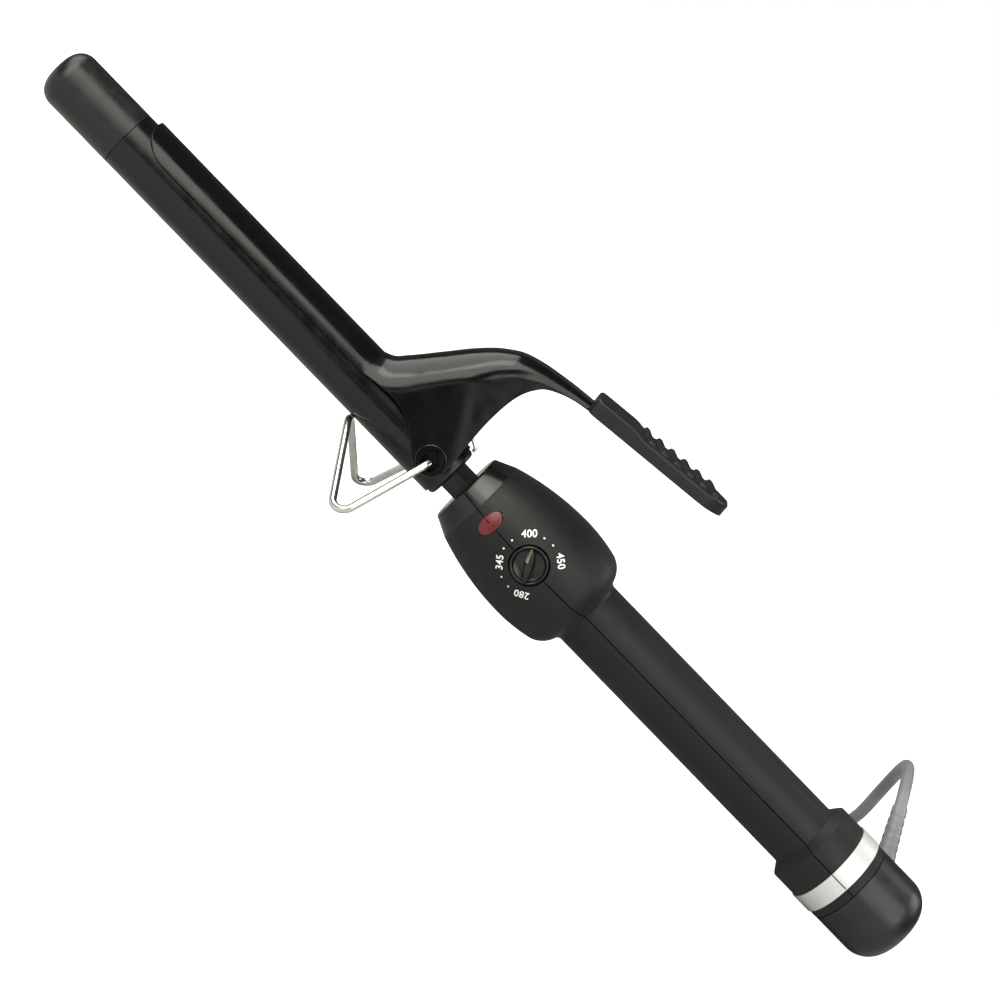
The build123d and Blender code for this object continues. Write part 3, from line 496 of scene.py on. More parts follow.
def makeBoot():
    lift = math.radians(boot["lift"])
    lean = math.radians(boot["lean"])
    spin = Vector((-math.sin(lean), math.cos(lean) * math.cos(lift), math.cos(lean) * math.sin(lift)))
    profile = [(boot["start"], 0.6)]
    for number in range(boot["steps"] + 1):
        along = boot["start"] + (boot["end"] - boot["start"]) * number / boot["steps"]
        share = (along - boot["start"]) / (boot["end"] - boot["start"])
        radius = boot["root"] + (boot["tip"] - boot["root"]) * share
        place = (along - boot["grooveStart"]) / boot["groovePitch"]
        if 0 <= place <= boot["grooves"]:
            wave = max(0.0, math.cos(2 * math.pi * (place % 1 - 0.5)))
            room = min(1.0, (radius - boot["leastRadius"]) / boot["grooveDepth"])
            radius -= boot["grooveDepth"] * wave ** 0.6 * room
        flare = max(0.0, 1 - share / 0.1)
        profile.append((along, radius + 0.5 * flare ** 2))
    profile.append((boot["end"] + 0.3, 2.3))
    return makeTurned("cordBoot", profile, boot["base"], spin, materials["vinyl"],
                      "swivel", 50)


cordBoot = makeBoot()
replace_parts(cordBoot, "strain_relief")

plug = {"tail": 124.0, "height": 14.0, "y": 61.8, "tailHeight": 6.6, "rise": 14}
# each station: distance from the tail, width, height and corner radius
plugStations = [
    [0.0, 5.0, 5.0, 2.4], [0.4, 6.4, 6.4, 3.0], [3.0, 7.2, 7.0, 3.3], [7.0, 9.5, 8.4, 3.8],
    [11.0, 15.5, 11.2, 4.4], [14.5, 20.2, 13.2, 4.6], [17.5, 21.6, 13.8, 4.6], [22.0, 21.2, 13.4, 4.6],
    [26.0, 21.4, 13.5, 4.6], [28.6, 21.9, 13.9, 4.6], [29.6, 21.0, 13.2, 4.4], [30.0, 19.4, 11.8, 4.0],
]


def ovalRow(x, y, z, width, height, corner, count=10):
    # rounded rectangle across the plug
    row = []
    for quarter in range(4):
        sideY = 1 if quarter in (0, 3) else -1
        sideZ = 1 if quarter < 2 else -1
        for step in range(count):
            angle = math.radians(90 * (quarter + step / (count - 1)))
            row.append(Vector((x, y + sideY * (width / 2 - corner) + corner * math.cos(angle),
                               z + sideZ * (height / 2 - corner) + corner * math.sin(angle))))
    return row


def makePlug():
    grid = bmesh.new()
    tail = plug["tail"] + hinge.x / mm
    middle = plug["height"] / 2
    rows = []
    for along, width, height, corner in smoothBetween(plugStations, 4):
        share = min(1.0, along / plug["rise"])
        z = plug["tailHeight"] + (middle - plug["tailHeight"]) * share
        corner = min(corner, height / 2 - 0.1)
        rows.append(ovalRow(tail + along, plug["y"], z, width, height, corner))
    layers = skinRows(grid, rows, closed=True)
    for layer in (layers[0], layers[-1]):
        grid.faces.new(layer)
    return finishMesh("cordPlug", grid, Matrix.Scale(mm, 4), materials["vinyl"],
                      "swivel", 45)


cordPlug = makePlug()
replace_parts(cordPlug, "plug_body")

tie = {"width": 7.0, "reach": 19.4, "across": 19.4, "tall": 9.3, "middle": 4.65, "corner": 2.4}


def makeTies():
    # two soft bands round the hank's straight sides
    grid = bmesh.new()
    centre = hank["centre"]
    middle = tie["middle"]
    for side in (-1, 1):
        y = centre[1] + side * tie["reach"]
        rows = []
        for x, swell in ((-0.5, 0.0), (-0.46, 0.35), (-0.2, 0.45),
                         (0.2, 0.45), (0.46, 0.35), (0.5, 0.0)):
            grow = swell * 2
            rows.append(ovalRow(centre[0] + x * tie["width"], y, middle, tie["across"] + grow,
                                tie["tall"] + grow - 0.9, tie["corner"]))
        inner = [ovalRow(centre[0] + x * tie["width"], y, middle, tie["across"] - 0.4,
                         tie["tall"] - 1.3, tie["corner"] - 0.2) for x in (0.5, -0.5)]
        for band in (rows, inner, [rows[0], inner[1]], [inner[0], rows[-1]]):
            skinRows(grid, band, closed=True)
    return finishMesh("hankTies", grid, Matrix.Scale(mm, 4), materials["vinyl"],
                      "swivel", 45)


hankTies = makeTies()
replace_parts(hankTies, "cord_tie")
print("cord pieces made")


# ---- clamp: clip and lever, one bent sheet

clip = {"front": -128.1, "nose": 13.0, "fold": -33.0, "outer": 10.925, "sheet": 1.0, "cover": 71.0,
        "across": 44, "noseRows": 22, "straightRows": 23, "rolledEdge": 0.28}

# each station: ridge x and z, edge x and z, half width, share of the width that is rounded
leverStations = [
    [-33.0, 10.925, -33.0, 3.55, 10.925, 0.985], [-30.0, 12.4, -27.5, 4.6, 10.925, 0.98],
    [-27.4, 15.4, -20.0, 5.0, 10.925, 0.97], [-25.2, 18.1, -13.0, 3.2, 10.925, 0.96],
    [-22.6, 21.5, -7.2, -1.4, 10.925, 0.94], [-20.2, 24.6, -3.0, -4.7, 10.925, 0.93],
    [-18.0, 27.5, 0.6, -5.3, 10.925, 0.91], [-16.0, 30.1, 4.0, -3.0, 10.925, 0.89],
    [-14.2, 32.2, 5.2, 2.6, 10.92, 0.87], [-12.6, 34.0, 4.5, 9.5, 10.75, 0.85],
    [-10.0, 36.6, 3.8, 16.0, 10.2, 0.82], [-7.0, 39.0, 3.5, 22.0, 9.5, 0.79],
    [-3.6, 41.2, 3.7, 28.0, 8.8, 0.75], [0.5, 42.7, 4.5, 32.6, 8.2, 0.7],
    [4.4, 43.7, 6.2, 36.4, 7.5, 0.64], [8.2, 44.4, 9.0, 39.6, 6.9, 0.58],
    [15.0, 45.5, 15.4, 42.5, 6.0, 0.5], [22.9, 46.4, 22.9, 44.0, 5.2, 0.42],
]


def sheetRow(ridge, edge, halfWidth, roundness):
    # points across the bent sheet: rounded crown, then straight walls down to the edge
    down = Vector((edge[0] - ridge[0], 0, edge[1] - ridge[1]))
    depth = down.length
    down.normalize()
    corner = halfWidth * roundness
    flat = halfWidth - corner
    sweep = math.acos(1 - depth / corner) if depth < corner else math.pi / 2
    arc = corner * sweep
    total = flat + arc + max(0.0, depth - corner)
    row = []
    for number in range(-clip["across"], clip["across"] + 1):
        side = 1 if number >= 0 else -1
        run = abs(number) / clip["across"] * total
        if run <= flat:
            y, fall = run, 0.0
        elif run <= flat + arc:
            angle = (run - flat) / corner
            y, fall = flat + corner * math.sin(angle), corner * (1 - math.cos(angle))
        else:
            y, fall = halfWidth, corner + run - flat - arc
        row.append(Vector((ridge[0], 0, ridge[1])) + down * fall + Vector((0, side * y, 0)))
    return row


def clipRow(x, cover):
    row = []
    for number in range(-clip["across"], clip["across"] + 1):
        angle = cover * number / clip["across"]
        row.append(Vector((x, clip["outer"] * math.sin(angle), clip["outer"] * math.cos(angle))))
    return row


def makeClamp():
    grid = bmesh.new()
    cover = math.radians(clip["cover"])
    half = clip["outer"] * math.sin(cover)
    rows = []
    for number in range(1, clip["noseRows"] + 1):
        share = (number / clip["noseRows"]) ** 2.5
        blunt = (1 - (1 - share) ** 3) ** 0.25
        rows.append(clipRow(clip["front"] + clip["nose"] * share,
                            math.asin(half * blunt / clip["outer"])))
    start = clip["front"] + clip["nose"]
    for number in range(1, clip["straightRows"] + 1):
        x = start + (clip["fold"] - 6 - start) * number / clip["straightRows"]
        rows.append(clipRow(x, cover))
    rows.append(clipRow(clip["fold"] - 2.5, cover))
    for ridgeX, ridgeZ, edgeX, edgeZ, halfWidth, roundness in smoothBetween(leverStations, 6):
        rows.append(sheetRow((ridgeX, ridgeZ), (edgeX, edgeZ), halfWidth, roundness))
    skinRows(grid, rows)
    piece = finishMesh("clampSheet", grid, ironPlace, materials["clip"],
                       "clamp", 0)
    piece.data.materials.append(materials["edge"])  # the sheet's cut edge is painted a lighter grey: a painted highlight along the edge
    if piece.data.polygons[0].normal.dot(leverAxis) < 0:
        piece.data.flip_normals()
    thick = piece.modifiers.new("sheetThickness", "SOLIDIFY")
    thick.thickness = clip["sheet"] * mm
    thick.offset = -1
    thick.material_offset_rim = 1
    edges = piece.modifiers.new("rolledEdge", "BEVEL")
    edges.width = clip["rolledEdge"] * mm
    edges.segments = 3
    edges.limit_method = "ANGLE"
    edges.angle_limit = math.radians(50)
    return piece


clampSheet = makeClamp()
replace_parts(clampSheet, "clamp_lever")

boss = {"radius": 4.9, "height": 0.22}


def makeBosses():
    # pressed ring round each pivot hole, on the outside of the sheet
    grid = bmesh.new()
    radius = boss["radius"]
    shoulder = boss["height"] * 0.8
    profile = [(-0.2, radius + 0.1), (0.02, radius), (shoulder, radius - 0.15),
               (boss["height"], radius - 0.35), (shoulder, radius - 0.55),
               (0.02, radius - 0.7), (-0.2, radius - 0.8)]
    for side in (-1, 1):
        face = side * (clip["outer"] - 0.02)
        rows = turnedRows(profile, Vector((0, face, 0)), Vector((0, side, 0)))
        skinRows(grid, rows, closed=True)
    finishMesh("pivotBosses", grid, ironPlace, materials["clip"], "clamp", 60)


makeBosses()
print("clamp made")


# ---- thumb rest: smooth pad, then Geometry Nodes raise its ridges

thumb = {"x": 21.7, "z": 43.8, "pitch": 6.6, "length": 51.0, "width": 18.5, "high": 5.6, "low": 4.6,
         "lug": 13.0, "slope": 7.0, "corner": 2.4, "edge": 1.2, "wall": 1.4, "foot": 0.35, "roof": 1.5,
         "lengthSteps": 240, "widthSteps": 60, "ridges": 6, "ridgePitch": 4.9, "ridgeHeight": 1.15,
         "ridgeWidth": 2.1, "ridgeSkew": 10.0, "inset": 0.9, "fade": 0.8}
thumbTurn = Matrix.Rotation(-math.radians(thumb["pitch"]), 4, "Y")
thumbPlace = ironPlace @ Matrix.Translation((thumb["x"], 0, thumb["z"])) @ thumbTurn


def thumbHalfWidth(x):
    half = thumb["width"] / 2
    corner = thumb["corner"]
    if x < corner:
        run = corner - x
        reach = half - corner + math.sqrt(max(0.0, corner * corner - run * run))
    elif x > thumb["length"] - half:
        run = x - (thumb["length"] - half)
        reach = math.sqrt(max(0.0, half * half - run * run))
    else:
        reach = half
    return max(0.0, reach)


def thumbTop(x):
    share = min(1.0, max(0.0, (x - thumb["lug"]) / thumb["slope"]))
    fall = share * share * (3 - 2 * share)
    return thumb["high"] - (thumb["high"] - thumb["low"]) * fall


def makeThumbRest():
    grid = bmesh.new()
    rows = []
    across = thumb["widthSteps"]
    edge = thumb["edge"]
    for number in range(thumb["lengthSteps"] + 1):
        share = number / thumb["lengthSteps"]
        x = thumb["length"] * (share + 0.012 * math.sin(math.pi * 2 * share) * -2)
        x = min(max(x, 0.02), thumb["length"] - 0.02)
        half = thumbHalfWidth(x)
        top = thumbTop(x)
        row = [Vector((x, -half, thumb["foot"]))]
        for place in range(across + 1):
            y = half * math.sin(math.pi / 2 * (2 * place / across - 1))
            gap = min(half - abs(y), x, thumb["length"] - x)
            sink = edge - math.sqrt(max(0.0, edge * edge - max(0.0, edge - gap) ** 2))
            row.append(Vector((x, y, top - sink)))
        row.append(Vector((x, half, thumb["foot"])))
        rows.append(row)
    layers = skinRows(grid, rows)
    rim = [layer[0] for layer in layers] + [layer[-1] for layer in reversed(layers)]
    for end in (layers[0], layers[-1]):
        grid.faces.new(end)
    inner = []
    pull = 1 - thumb["wall"] / (thumb["width"] / 2)
    for vertex in rim:
        spine = min(max(vertex.co.x, thumb["wall"] + 2), thumb["length"] - thumb["width"] / 2)
        middle = Vector((spine, 0, 0))
        flat = Vector((vertex.co.x, vertex.co.y, 0)) - middle
        inner.append(grid.verts.new(middle + flat * pull))
    roof = [grid.verts.new(Vector((vertex.co.x, vertex.co.y, thumb["roof"]))) for vertex in inner]
    count = len(rim)
    for place in range(count):
        after = (place + 1) % count
        grid.faces.new((rim[place], inner[place], inner[after], rim[after]))
        grid.faces.new((inner[place], roof[place], roof[after], inner[after]))
    grid.faces.new(roof)
    bmesh.ops.recalc_face_normals(grid, faces=grid.faces)
    return addPiece("thumbRest", keepMesh("thumbRest", grid))


def startTree(name, sizes):
    # a Geometry Nodes tree with named sizes and a finish for its inputs
    tree = bpy.data.node_groups.new(name, "GeometryNodeTree")
    face = tree.interface
    face.new_socket("Geometry", in_out="INPUT", socket_type="NodeSocketGeometry")
    for label, value in sizes.items():
        socket = face.new_socket(label, in_out="INPUT", socket_type="NodeSocketFloat")
        socket.default_value = value
    face.new_socket("Finish", in_out="INPUT", socket_type="NodeSocketMaterial")
    face.new_socket("Geometry", in_out="OUTPUT", socket_type="NodeSocketGeometry")
    return tree, addNode(tree, "NodeGroupInput")


def endTree(tree, source, geometry):
    real = addNode(tree, "GeometryNodeRealizeInstances", None, {"Geometry": geometry})
    paint = addNode(tree, "GeometryNodeSetMaterial", None,
                    {"Geometry": real.outputs["Geometry"], "Material": source.outputs["Finish"]})
    addNode(tree, "NodeGroupOutput", None, {"Geometry": paint.outputs["Geometry"]})
    return tree


def ridgeTree():
    # raises rounded bars across the pad: the distance to the nearest bar's line sets the height
    tree, source = startTree("thumbRidges", {
        "Start": 0.0, "Pitch": thumb["ridgePitch"], "Count": float(thumb["ridges"]),
        "Width": thumb["ridgeWidth"], "Height": thumb["ridgeHeight"],
        "Slant": math.tan(math.radians(thumb["ridgeSkew"]))})
    position = addNode(tree, "GeometryNodeInputPosition").outputs[0]
    spot = addNode(tree, "ShaderNodeSeparateXYZ", None, {"Vector": position})

    def reckon(kind, first, second):
        node = tree.nodes.new("ShaderNodeMath")
        node.operation = kind
        for place, value in enumerate((first, second)):
            if isinstance(value, (int, float)):
                node.inputs[place].default_value = value
            else:
                tree.links.new(value, node.inputs[place])
        return node.outputs[0]

    slant = reckon("MULTIPLY", spot.outputs["Y"], source.outputs["Slant"])
    run = reckon("SUBTRACT", reckon("ADD", spot.outputs["X"], slant), source.outputs["Start"])
    turns = reckon("DIVIDE", run, source.outputs["Pitch"])
    whole = reckon("ROUND", turns, 0)
    low = reckon("MAXIMUM", whole, 0)
    nearest = reckon("MINIMUM", low, reckon("SUBTRACT", source.outputs["Count"], 1))
    away = reckon("ABSOLUTE", reckon("SUBTRACT", turns, nearest), 0)
    share = reckon("DIVIDE", reckon("MULTIPLY", away, source.outputs["Pitch"]),
                   reckon("DIVIDE", source.outputs["Width"], 2))
    inside = reckon("MAXIMUM", reckon("SUBTRACT", 1, reckon("POWER", share, 4)), 0)
    shape = reckon("POWER", inside, 0.5)
    mask = addNode(tree, "GeometryNodeInputNamedAttribute", {"data_type": "FLOAT", "Name": "ridgeRoom"})
    lift = reckon("MULTIPLY", reckon("MULTIPLY", shape, source.outputs["Height"]),
                  mask.outputs["Attribute"])
    offset = addNode(tree, "ShaderNodeCombineXYZ", None, {"Z": lift})
    move = addNode(tree, "GeometryNodeSetPosition", None,
                   {"Geometry": source.outputs["Geometry"], "Offset": offset.outputs["Vector"]})
    return endTree(tree, source, move.outputs["Geometry"])


def plainMesh(piece):
    bpy.context.view_layer.update()
    return bpy.data.meshes.new_from_object(piece.evaluated_get(bpy.context.evaluated_depsgraph_get()))


def runNodes(piece, tree, values):
    # sets the named inputs, evaluates once and leaves a plain mesh
    work = piece.modifiers.new(tree.name, "NODES")
    work.node_group = tree
    sockets = {item.name: item.identifier for item in tree.interface.items_tree
               if item.in_out == "INPUT"}
    for name, value in values.items():
        work[sockets[name]] = value
    made = plainMesh(piece)
    piece.modifiers.remove(work)
    old = piece.data
    piece.data = made
    bpy.data.meshes.remove(old)


thumbRest = makeThumbRest()
ridgeStart = thumb["length"] - thumb["width"] / 2 - (thumb["ridges"] - 1) * thumb["ridgePitch"] + 2.4
room = thumbRest.data.attributes.new("ridgeRoom", "FLOAT", "POINT")  # 1 on top, 0 by the edges
for vertex, value in zip(thumbRest.data.vertices, room.data):
    x, y, z = vertex.co
    gap = min(thumbHalfWidth(x) - abs(y), thumb["length"] - x) - thumb["inset"]
    value.value = min(1.0, gap / thumb["fade"]) ** 0.5 if z > 2.0 and gap > 0 else 0.0
runNodes(thumbRest, ridgeTree(), {"Start": ridgeStart, "Finish": materials["rubber"]})
thumbRest.data.transform(thumbPlace)
thumbRest.data.shade_smooth()
thumbRest.data.set_sharp_from_angle(angle=math.radians(50))
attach(thumbRest, "clamp")
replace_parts(thumbRest, "thumb_rest")
print("thumb rest made")


# ---- heat dial

dial = {"x": 42.4, "z": 0.8, "floor": 14.9, "face": 17.95, "rim": 18.9, "bar": 20.3, "radius": 5.9,
        "barWidth": 2.9, "barPoints": 64, "angle": 122.0}
dialCentre = Vector((dial["x"], 0, dial["z"]))


def makeKnob():
    r = dial["radius"]
    floor, face, rim = dial["floor"], dial["face"], dial["rim"]
    profile = [(floor, 0.2), (floor, r - 0.1), (floor + 0.2, r), (rim - 0.35, r), (rim - 0.1, r - 0.12),
               (rim, r - 0.4), (rim - 0.1, r - 0.72), (rim - 0.45, r - 0.9),
               (face + 0.25, r - 1.2), (face, r - 1.7), (face - 0.15, r - 3.4), (face - 0.2, 0.2)]
    knob = makeTurned("dialKnob", profile, dialCentre, (0, -1, 0), materials["knob"],
                      "dial", 55)
    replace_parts(knob, "dial_knob")


def makeDialBar():
    # the grip across the knob: pointed ends, rounded crown, a warm pale painted highlight on one flank
    # of its upper end
    grid = bmesh.new()
    half = dial["barWidth"] / 2
    reach = dial["radius"] - 0.75
    face, top = dial["face"], dial["bar"]
    rows = []
    for level, swell in ((face - 0.6, 0.3), (face + 0.2, 0.15), (top - 1.2, 0.0), (top - 0.6, -0.15),
                         (top - 0.25, -0.4), (top - 0.06, -0.75), (top, -1.05)):
        row = []
        for number in range(dial["barPoints"]):
            angle = 2 * math.pi * number / dial["barPoints"]
            along = (reach + swell * 0.6) * math.cos(angle)
            waist = 1 - 0.45 * abs(math.cos(angle)) ** 2
            across = (half + swell) * math.copysign(abs(math.sin(angle)) ** 0.7, math.sin(angle)) * waist
            row.append(Vector((along, -level, across)))
        rows.append(row)
    layers = skinRows(grid, rows, closed=True)
    grid.faces.new(layers[-1])
    grid.faces.new(layers[0])
    turn = Matrix.Translation(dialCentre) @ Matrix.Rotation(-math.radians(dial["angle"]), 4, "Y")
    bar = finishMesh("dialBar", grid, ironPlace @ turn, materials["knob"],
                     "dial", 50)
    bar.data.materials.append(materials["flankHighlight"])
    back = (ironPlace @ turn).inverted()
    # one flank at the bar's upper end takes the painted warm highlight
    for flank in bar.data.polygons:
        spot = back @ flank.center
        if spot.x > 1.0 and spot.z > 0.1 and -spot.y > face + 0.4:
            flank.material_index = 1


makeKnob()
makeDialBar()
print("dial made")


def skinOf(name):
    data = frame["nodes"][name].data
    return BVHTree.FromPolygons([v.co for v in data.vertices], [p.vertices for p in data.polygons])


shellSkin = [skinOf(name) for name in ("handle_upper_shell", "handle_lower_shell", "front_cap_upper",
                                       "front_cap_lower", "trim_ring")]


def onShell(x, z, lift, side=-1):
    # point and normal on the casing seen from one side, raised by lift mm
    start = onIron(x, 60 * side, z)
    towards = -side * sideAxis
    hits = [skin.ray_cast(start, towards) for skin in shellSkin]
    found = [hit for hit in hits if hit[0] is not None]
    best = min(found, key=lambda hit: hit[3])
    outward = best[1] if best[1].dot(towards) < 0 else -best[1]
    return best[0] + outward * lift * mm, outward


# each figure's angle and distance from the knob's centre
figures = {"280": (301.5, 9.0), "345": (220.5, 8.8), "400": (136.0, 9.35), "450": (54.0, 9.35)}
figureSizes = {"height": 2.15, "capShare": 0.70, "stroke": 0.05, "spread": 0.98, "spacing": 1.05,
               "lift": 0.03, "longest": 0.5}
dots = {"angles": [107.0, 86.0, 170.0, 192.0, 250.0, 272.0], "radius": 9.1, "size": 0.3, "lift": 0.04}


def makeFigure(text, angle, radius):
    data = bpy.data.curves.new("figure" + text, "FONT")
    data.body = text
    data.align_x = "CENTER"
    data.align_y = "CENTER"
    data.size = figureSizes["height"] / figureSizes["capShare"]
    data.space_character = figureSizes["spacing"]
    data.offset = figureSizes["stroke"]
    data.resolution_u = 6
    flat = addPiece("figure" + text, data)
    mesh = plainMesh(flat)
    bpy.data.objects.remove(flat)
    grid = bmesh.new()
    grid.from_mesh(mesh)
    bmesh.ops.triangulate(grid, faces=grid.faces)
    long = [edge for edge in grid.edges if edge.calc_length() > figureSizes["longest"]]
    bmesh.ops.subdivide_edges(grid, edges=long, cuts=2, use_grid_fill=False)
    bmesh.ops.triangulate(grid, faces=grid.faces)
    outward = math.radians(angle)
    for vertex in grid.verts:
        # the foot of each figure points to the knob's centre
        u = vertex.co.x * figureSizes["spread"]
        v = radius + vertex.co.y
        x = dial["x"] + v * math.cos(outward) + u * math.sin(outward)
        z = dial["z"] + v * math.sin(outward) - u * math.cos(outward)
        vertex.co = onShell(x, z, figureSizes["lift"])[0]
    return grid


def makeFigures():
    whole = bmesh.new()
    for text, (angle, radius) in figures.items():
        part = keepMesh("part", makeFigure(text, angle, radius))
        whole.from_mesh(part)
        bpy.data.meshes.remove(part)
    data = keepMesh("dialFigures", whole)
    data.materials.append(materials["ink"])
    piece = addPiece("dialFigures", data)
    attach(piece, "iron")


def dotTree():
    # a flat round of ink on every point, lying along the surface
    tree, source = startTree("inkDots", {"Radius": 0.0})
    disc = addNode(tree, "GeometryNodeMeshCircle", {"fill_type": "NGON", "Vertices": 20},
                   {"Radius": source.outputs["Radius"]})
    facing = addNode(tree, "GeometryNodeInputNamedAttribute",
                     {"data_type": "FLOAT_VECTOR", "Name": "facing"})
    lean = addNode(tree, "FunctionNodeAlignRotationToVector", {"axis": "Z"},
                   {"Vector": facing.outputs["Attribute"]})
    put = addNode(tree, "GeometryNodeInstanceOnPoints", None,
                  {"Points": source.outputs["Geometry"], "Instance": disc.outputs["Mesh"],
                   "Rotation": lean.outputs["Rotation"]})
    return endTree(tree, source, put.outputs["Instances"])


def makeDots():
    places = []
    for angle in dots["angles"]:
        turn = math.radians(angle)
        places.append(onShell(dial["x"] + dots["radius"] * math.cos(turn),
                              dial["z"] + dots["radius"] * math.sin(turn), dots["lift"]))
    data = bpy.data.meshes.new("dialDots")
    data.from_pydata([place[0] for place in places], [], [])
    facing = data.attributes.new("facing", "FLOAT_VECTOR", "POINT")
    for value, place in zip(facing.data, places):
        value.vector = place[1]
    piece = addPiece("dialDots", data)
    runNodes(piece, dotTree(), {"Radius": dots["size"] * mm, "Finish": materials["ink"]})
    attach(piece, "iron")


makeFigures()
makeDots()
print("dial figures made")

parting = {"z": 0.8, "width": 0.34, "start": 13.6, "end": 182.6, "step": 0.35, "lift": 0.015,
           "holes": [(22.75, 28.05), (35.9, 48.9)]}


def makePartingShadow():
    # painted shadow: a thin dark strip laid on the casing where the two halves meet, down both sides
    grid = bmesh.new()
    count = int((parting["end"] - parting["start"]) / parting["step"])
    for side in (-1, 1):
        before = None
        for number in range(count + 1):
            x = parting["start"] + (parting["end"] - parting["start"]) * number / count
            inHole = side < 0 and any(first < x < last for first, last in parting["holes"])
            if inHole:
                before = None
                continue
            pair = [grid.verts.new(onShell(x, parting["z"] + half * parting["width"],
                                           parting["lift"], side)[0]) for half in (-0.5, 0.5)]
            if before and abs(before[0].co.y - pair[0].co.y) < 2.5 * mm:
                grid.faces.new((before[0], pair[0], pair[1], before[1]) if side < 0
                               else (before[1], pair[1], pair[0], before[0]))
            before = pair
    data = keepMesh("partingShadowStrip", grid)
    data.materials.append(materials["gap"])
    piece = addPiece("partingShadowStrip", data)
    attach(piece, "iron")


makePartingShadow()

lens = {"x": 25.4, "z": 0.8, "height": 8.9, "width": 5.0, "sink": 0.5, "seam": 0.3, "line": 0.28,
        "probe": 1.9, "points": 48, "lineSteps": 12, "thick": 1.6}


def makeLens():
    # domed oval of red styrene, its rim a hair below the casing, ringed and crossed by strips of painted
    # seam shadow
    skin = skinOf("indicator_lens")
    toIron = ironPlace.inverted()
    rounds = []
    for x in (lens["x"] - lens["probe"], lens["x"], lens["x"] + lens["probe"]):
        near = toIron @ skin.ray_cast(onIron(x, -60, lens["z"]), sideAxis)[0]
        rounds.append(math.hypot(near.y, near.z))

    def level(x, z):
        # the casing's radius here, from three probes, then the dome's own fall
        run = (x - lens["x"]) / lens["probe"]
        first, middle, last = rounds
        radius = middle + (last - first) / 2 * run + (first + last - 2 * middle) / 2 * run * run
        ring = min(1.0, math.hypot(2 * (x - lens["x"]) / lens["width"],
                                   2 * (z - lens["z"]) / lens["height"]))
        return lens["sink"] * (1 - math.sqrt(1 - ring * ring)) - math.sqrt(radius * radius - z * z)

    def oval(share, angle):
        return (lens["x"] + lens["width"] / 2 * share * math.cos(angle),
                lens["z"] + lens["height"] / 2 * share * math.sin(angle))

    turns = [2 * math.pi * number / lens["points"] for number in range(lens["points"])]
    grid = bmesh.new()
    rows = []
    for ring in (1.0, 0.985, 0.95, 0.9, 0.82, 0.7, 0.55, 0.4, 0.25, 0.1):
        spots = [oval(ring, angle) for angle in turns]
        rows.append([Vector((x, level(x, z), z)) for x, z in spots])
    below = [point + Vector((0, lens["thick"], 0)) for point in rows[0]]
    layers = skinRows(grid, [below] + rows, closed=True)
    grid.faces.new(layers[-1])
    grid.faces.new(layers[0])
    jewel = finishMesh("redJewel", grid, ironPlace, materials["lens"], "iron", 50)
    # a near-black ring round the lens and a line across it at the parting height: painted shade of the
    # seams
    seam = bmesh.new()
    reach = 1 + 2 * lens["seam"] / lens["width"]
    skinRows(seam, [[onShell(*oval(share, angle), 0.02)[0] for angle in turns]
                    for share in (1.03, reach)], closed=True)
    steps = [lens["x"] + lens["width"] * (number / lens["lineSteps"] - 0.5) * 0.97
             for number in range(lens["lineSteps"] + 1)]
    skinRows(seam, [[onIron(x, level(x, lens["z"] + half) - 0.05, lens["z"] + half) for x in steps]
                    for half in (-lens["line"] / 2, lens["line"] / 2)])
    finishMesh("lensSeamShadow", seam, Matrix.Identity(4), materials["gap"],
               "iron", 0)
    return jewel


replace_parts(makeLens(), "indicator_lens")
print("casing details made")


# ---- floor, lights and world

floorReach = 6.0
# a black card in front keeps the lever's side walls dark
cardCorners = [(-0.088, -0.55, 0.002), (0.0, -0.55, 0.002), (-0.008, -0.1, 0.002), (-0.075, -0.1, 0.002)]


def makeSheet(name, corners, material):
    data = bpy.data.meshes.new(name)
    data.from_pydata(corners, [], [(0, 1, 2, 3)])
    data.materials.append(material)
    return addPiece(name, data)


def makeFloor():
    # white paper sweep; the eye sees it a little brighter than the iron's gloss does
    material, tree, shader, place = newSurface("whitePaper")
    shader.inputs["Base Color"].default_value = linear("#adadad")
    vary(tree, place, shader, 40, 0.7, 0.8)
    seen = addNode(tree, "ShaderNodeLightPath").outputs["Is Camera Ray"]
    shader.inputs["Emission Color"].default_value = linear("#ffffff")
    tree.links.new(seen, shader.inputs["Emission Strength"])
    reach = floorReach
    corners = [(-reach, -reach, 0), (reach, -reach, 0), (reach, reach, 0), (-reach, reach, 0)]
    makeSheet("floor", corners, material)


def makeCard():
    # only gloss sees the card
    material, tree, shader, place = newSurface("blackCard")
    shader.inputs["Base Color"].default_value = linear("#050505")
    card = makeSheet("blackCard", cardCorners, material)
    card.visible_camera = False
    card.visible_diffuse = False
    card.visible_shadow = False


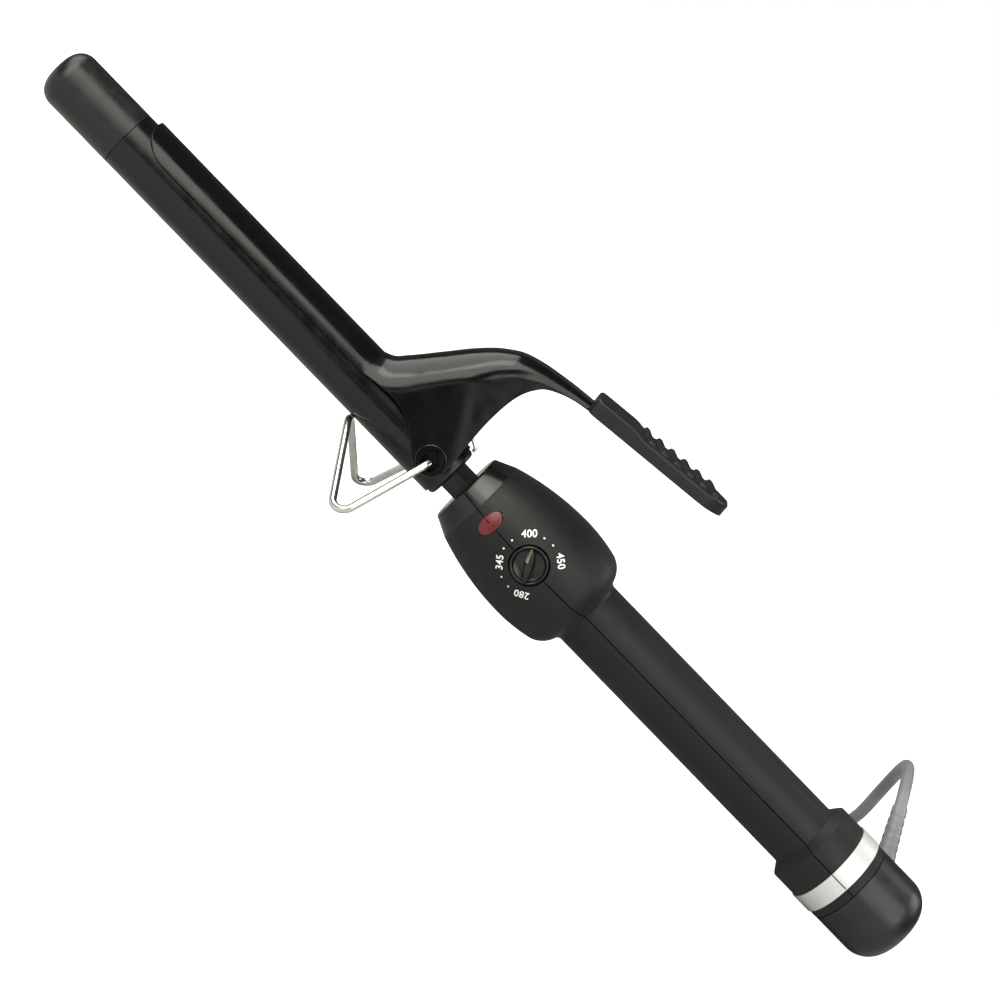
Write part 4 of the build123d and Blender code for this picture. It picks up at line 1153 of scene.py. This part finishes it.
# glow is the brightness of a box's face; the overhead fill lights the floor and shows in no gloss
lights = [
    {"name": "leftBox", "at": (-0.74, -1.05, 0.98), "size": (1.2, 1.8), "glow": 3.0, "gloss": True},
    {"name": "rightBox", "at": (0.64, -1.1, 0.8), "size": (1.2, 1.4), "glow": 2.3, "gloss": True},
    {"name": "leftTopBox", "at": (-0.95, -0.05, 0.95), "size": (1.9, 0.9), "glow": 2.8, "gloss": True},
    {"name": "rightTopBox", "at": (0.95, 0.35, 1.0), "size": (0.8, 0.8), "glow": 2.6, "gloss": True},
    {"name": "overheadFill", "at": (0.0, 0.0, 2.3), "size": (3.2, 3.2), "glow": 1.15, "gloss": False},
]
lightColour = "#fffff6"
lightAim = Vector((0, 0, 0.03))
dimRoom = 0.08  # the room's brightness to everything but the camera


def makeLights():
    for light in lights:
        data = bpy.data.lights.new(light["name"], "AREA")
        data.shape = "RECTANGLE"
        data.color = linear(lightColour)[:3]
        data.size, data.size_y = light["size"]
        data.energy = light["glow"] * math.pi * data.size * data.size_y
        holder = addPiece(light["name"], data)
        holder.visible_glossy = light["gloss"]
        holder.location = light["at"]
        holder.rotation_mode = "QUATERNION"
        holder.rotation_quaternion = (lightAim - Vector(light["at"])).to_track_quat("-Z", "Y")


def makeRoom():
    world = bpy.data.worlds.new("softWhite")
    world.use_nodes = True
    tree = world.node_tree
    tree.nodes.clear()
    dim = addNode(tree, "ShaderNodeBackground", {"Color": linear("#ffffff"), "Strength": dimRoom})
    white = addNode(tree, "ShaderNodeBackground", {"Color": linear("#ffffff"), "Strength": 1.0})
    seen = addNode(tree, "ShaderNodeLightPath").outputs["Is Camera Ray"]
    mixed = addNode(tree, "ShaderNodeMixShader", None, {"Fac": seen})
    tree.links.new(dim.outputs[0], mixed.inputs[1])
    tree.links.new(white.outputs[0], mixed.inputs[2])
    addNode(tree, "ShaderNodeOutputWorld", None, {"Surface": mixed.outputs[0]})
    bpy.context.scene.world = world
    bpy.context.scene.view_settings.view_transform = "Standard"


makeFloor()
makeCard()
makeLights()
makeRoom()
print("stage set")
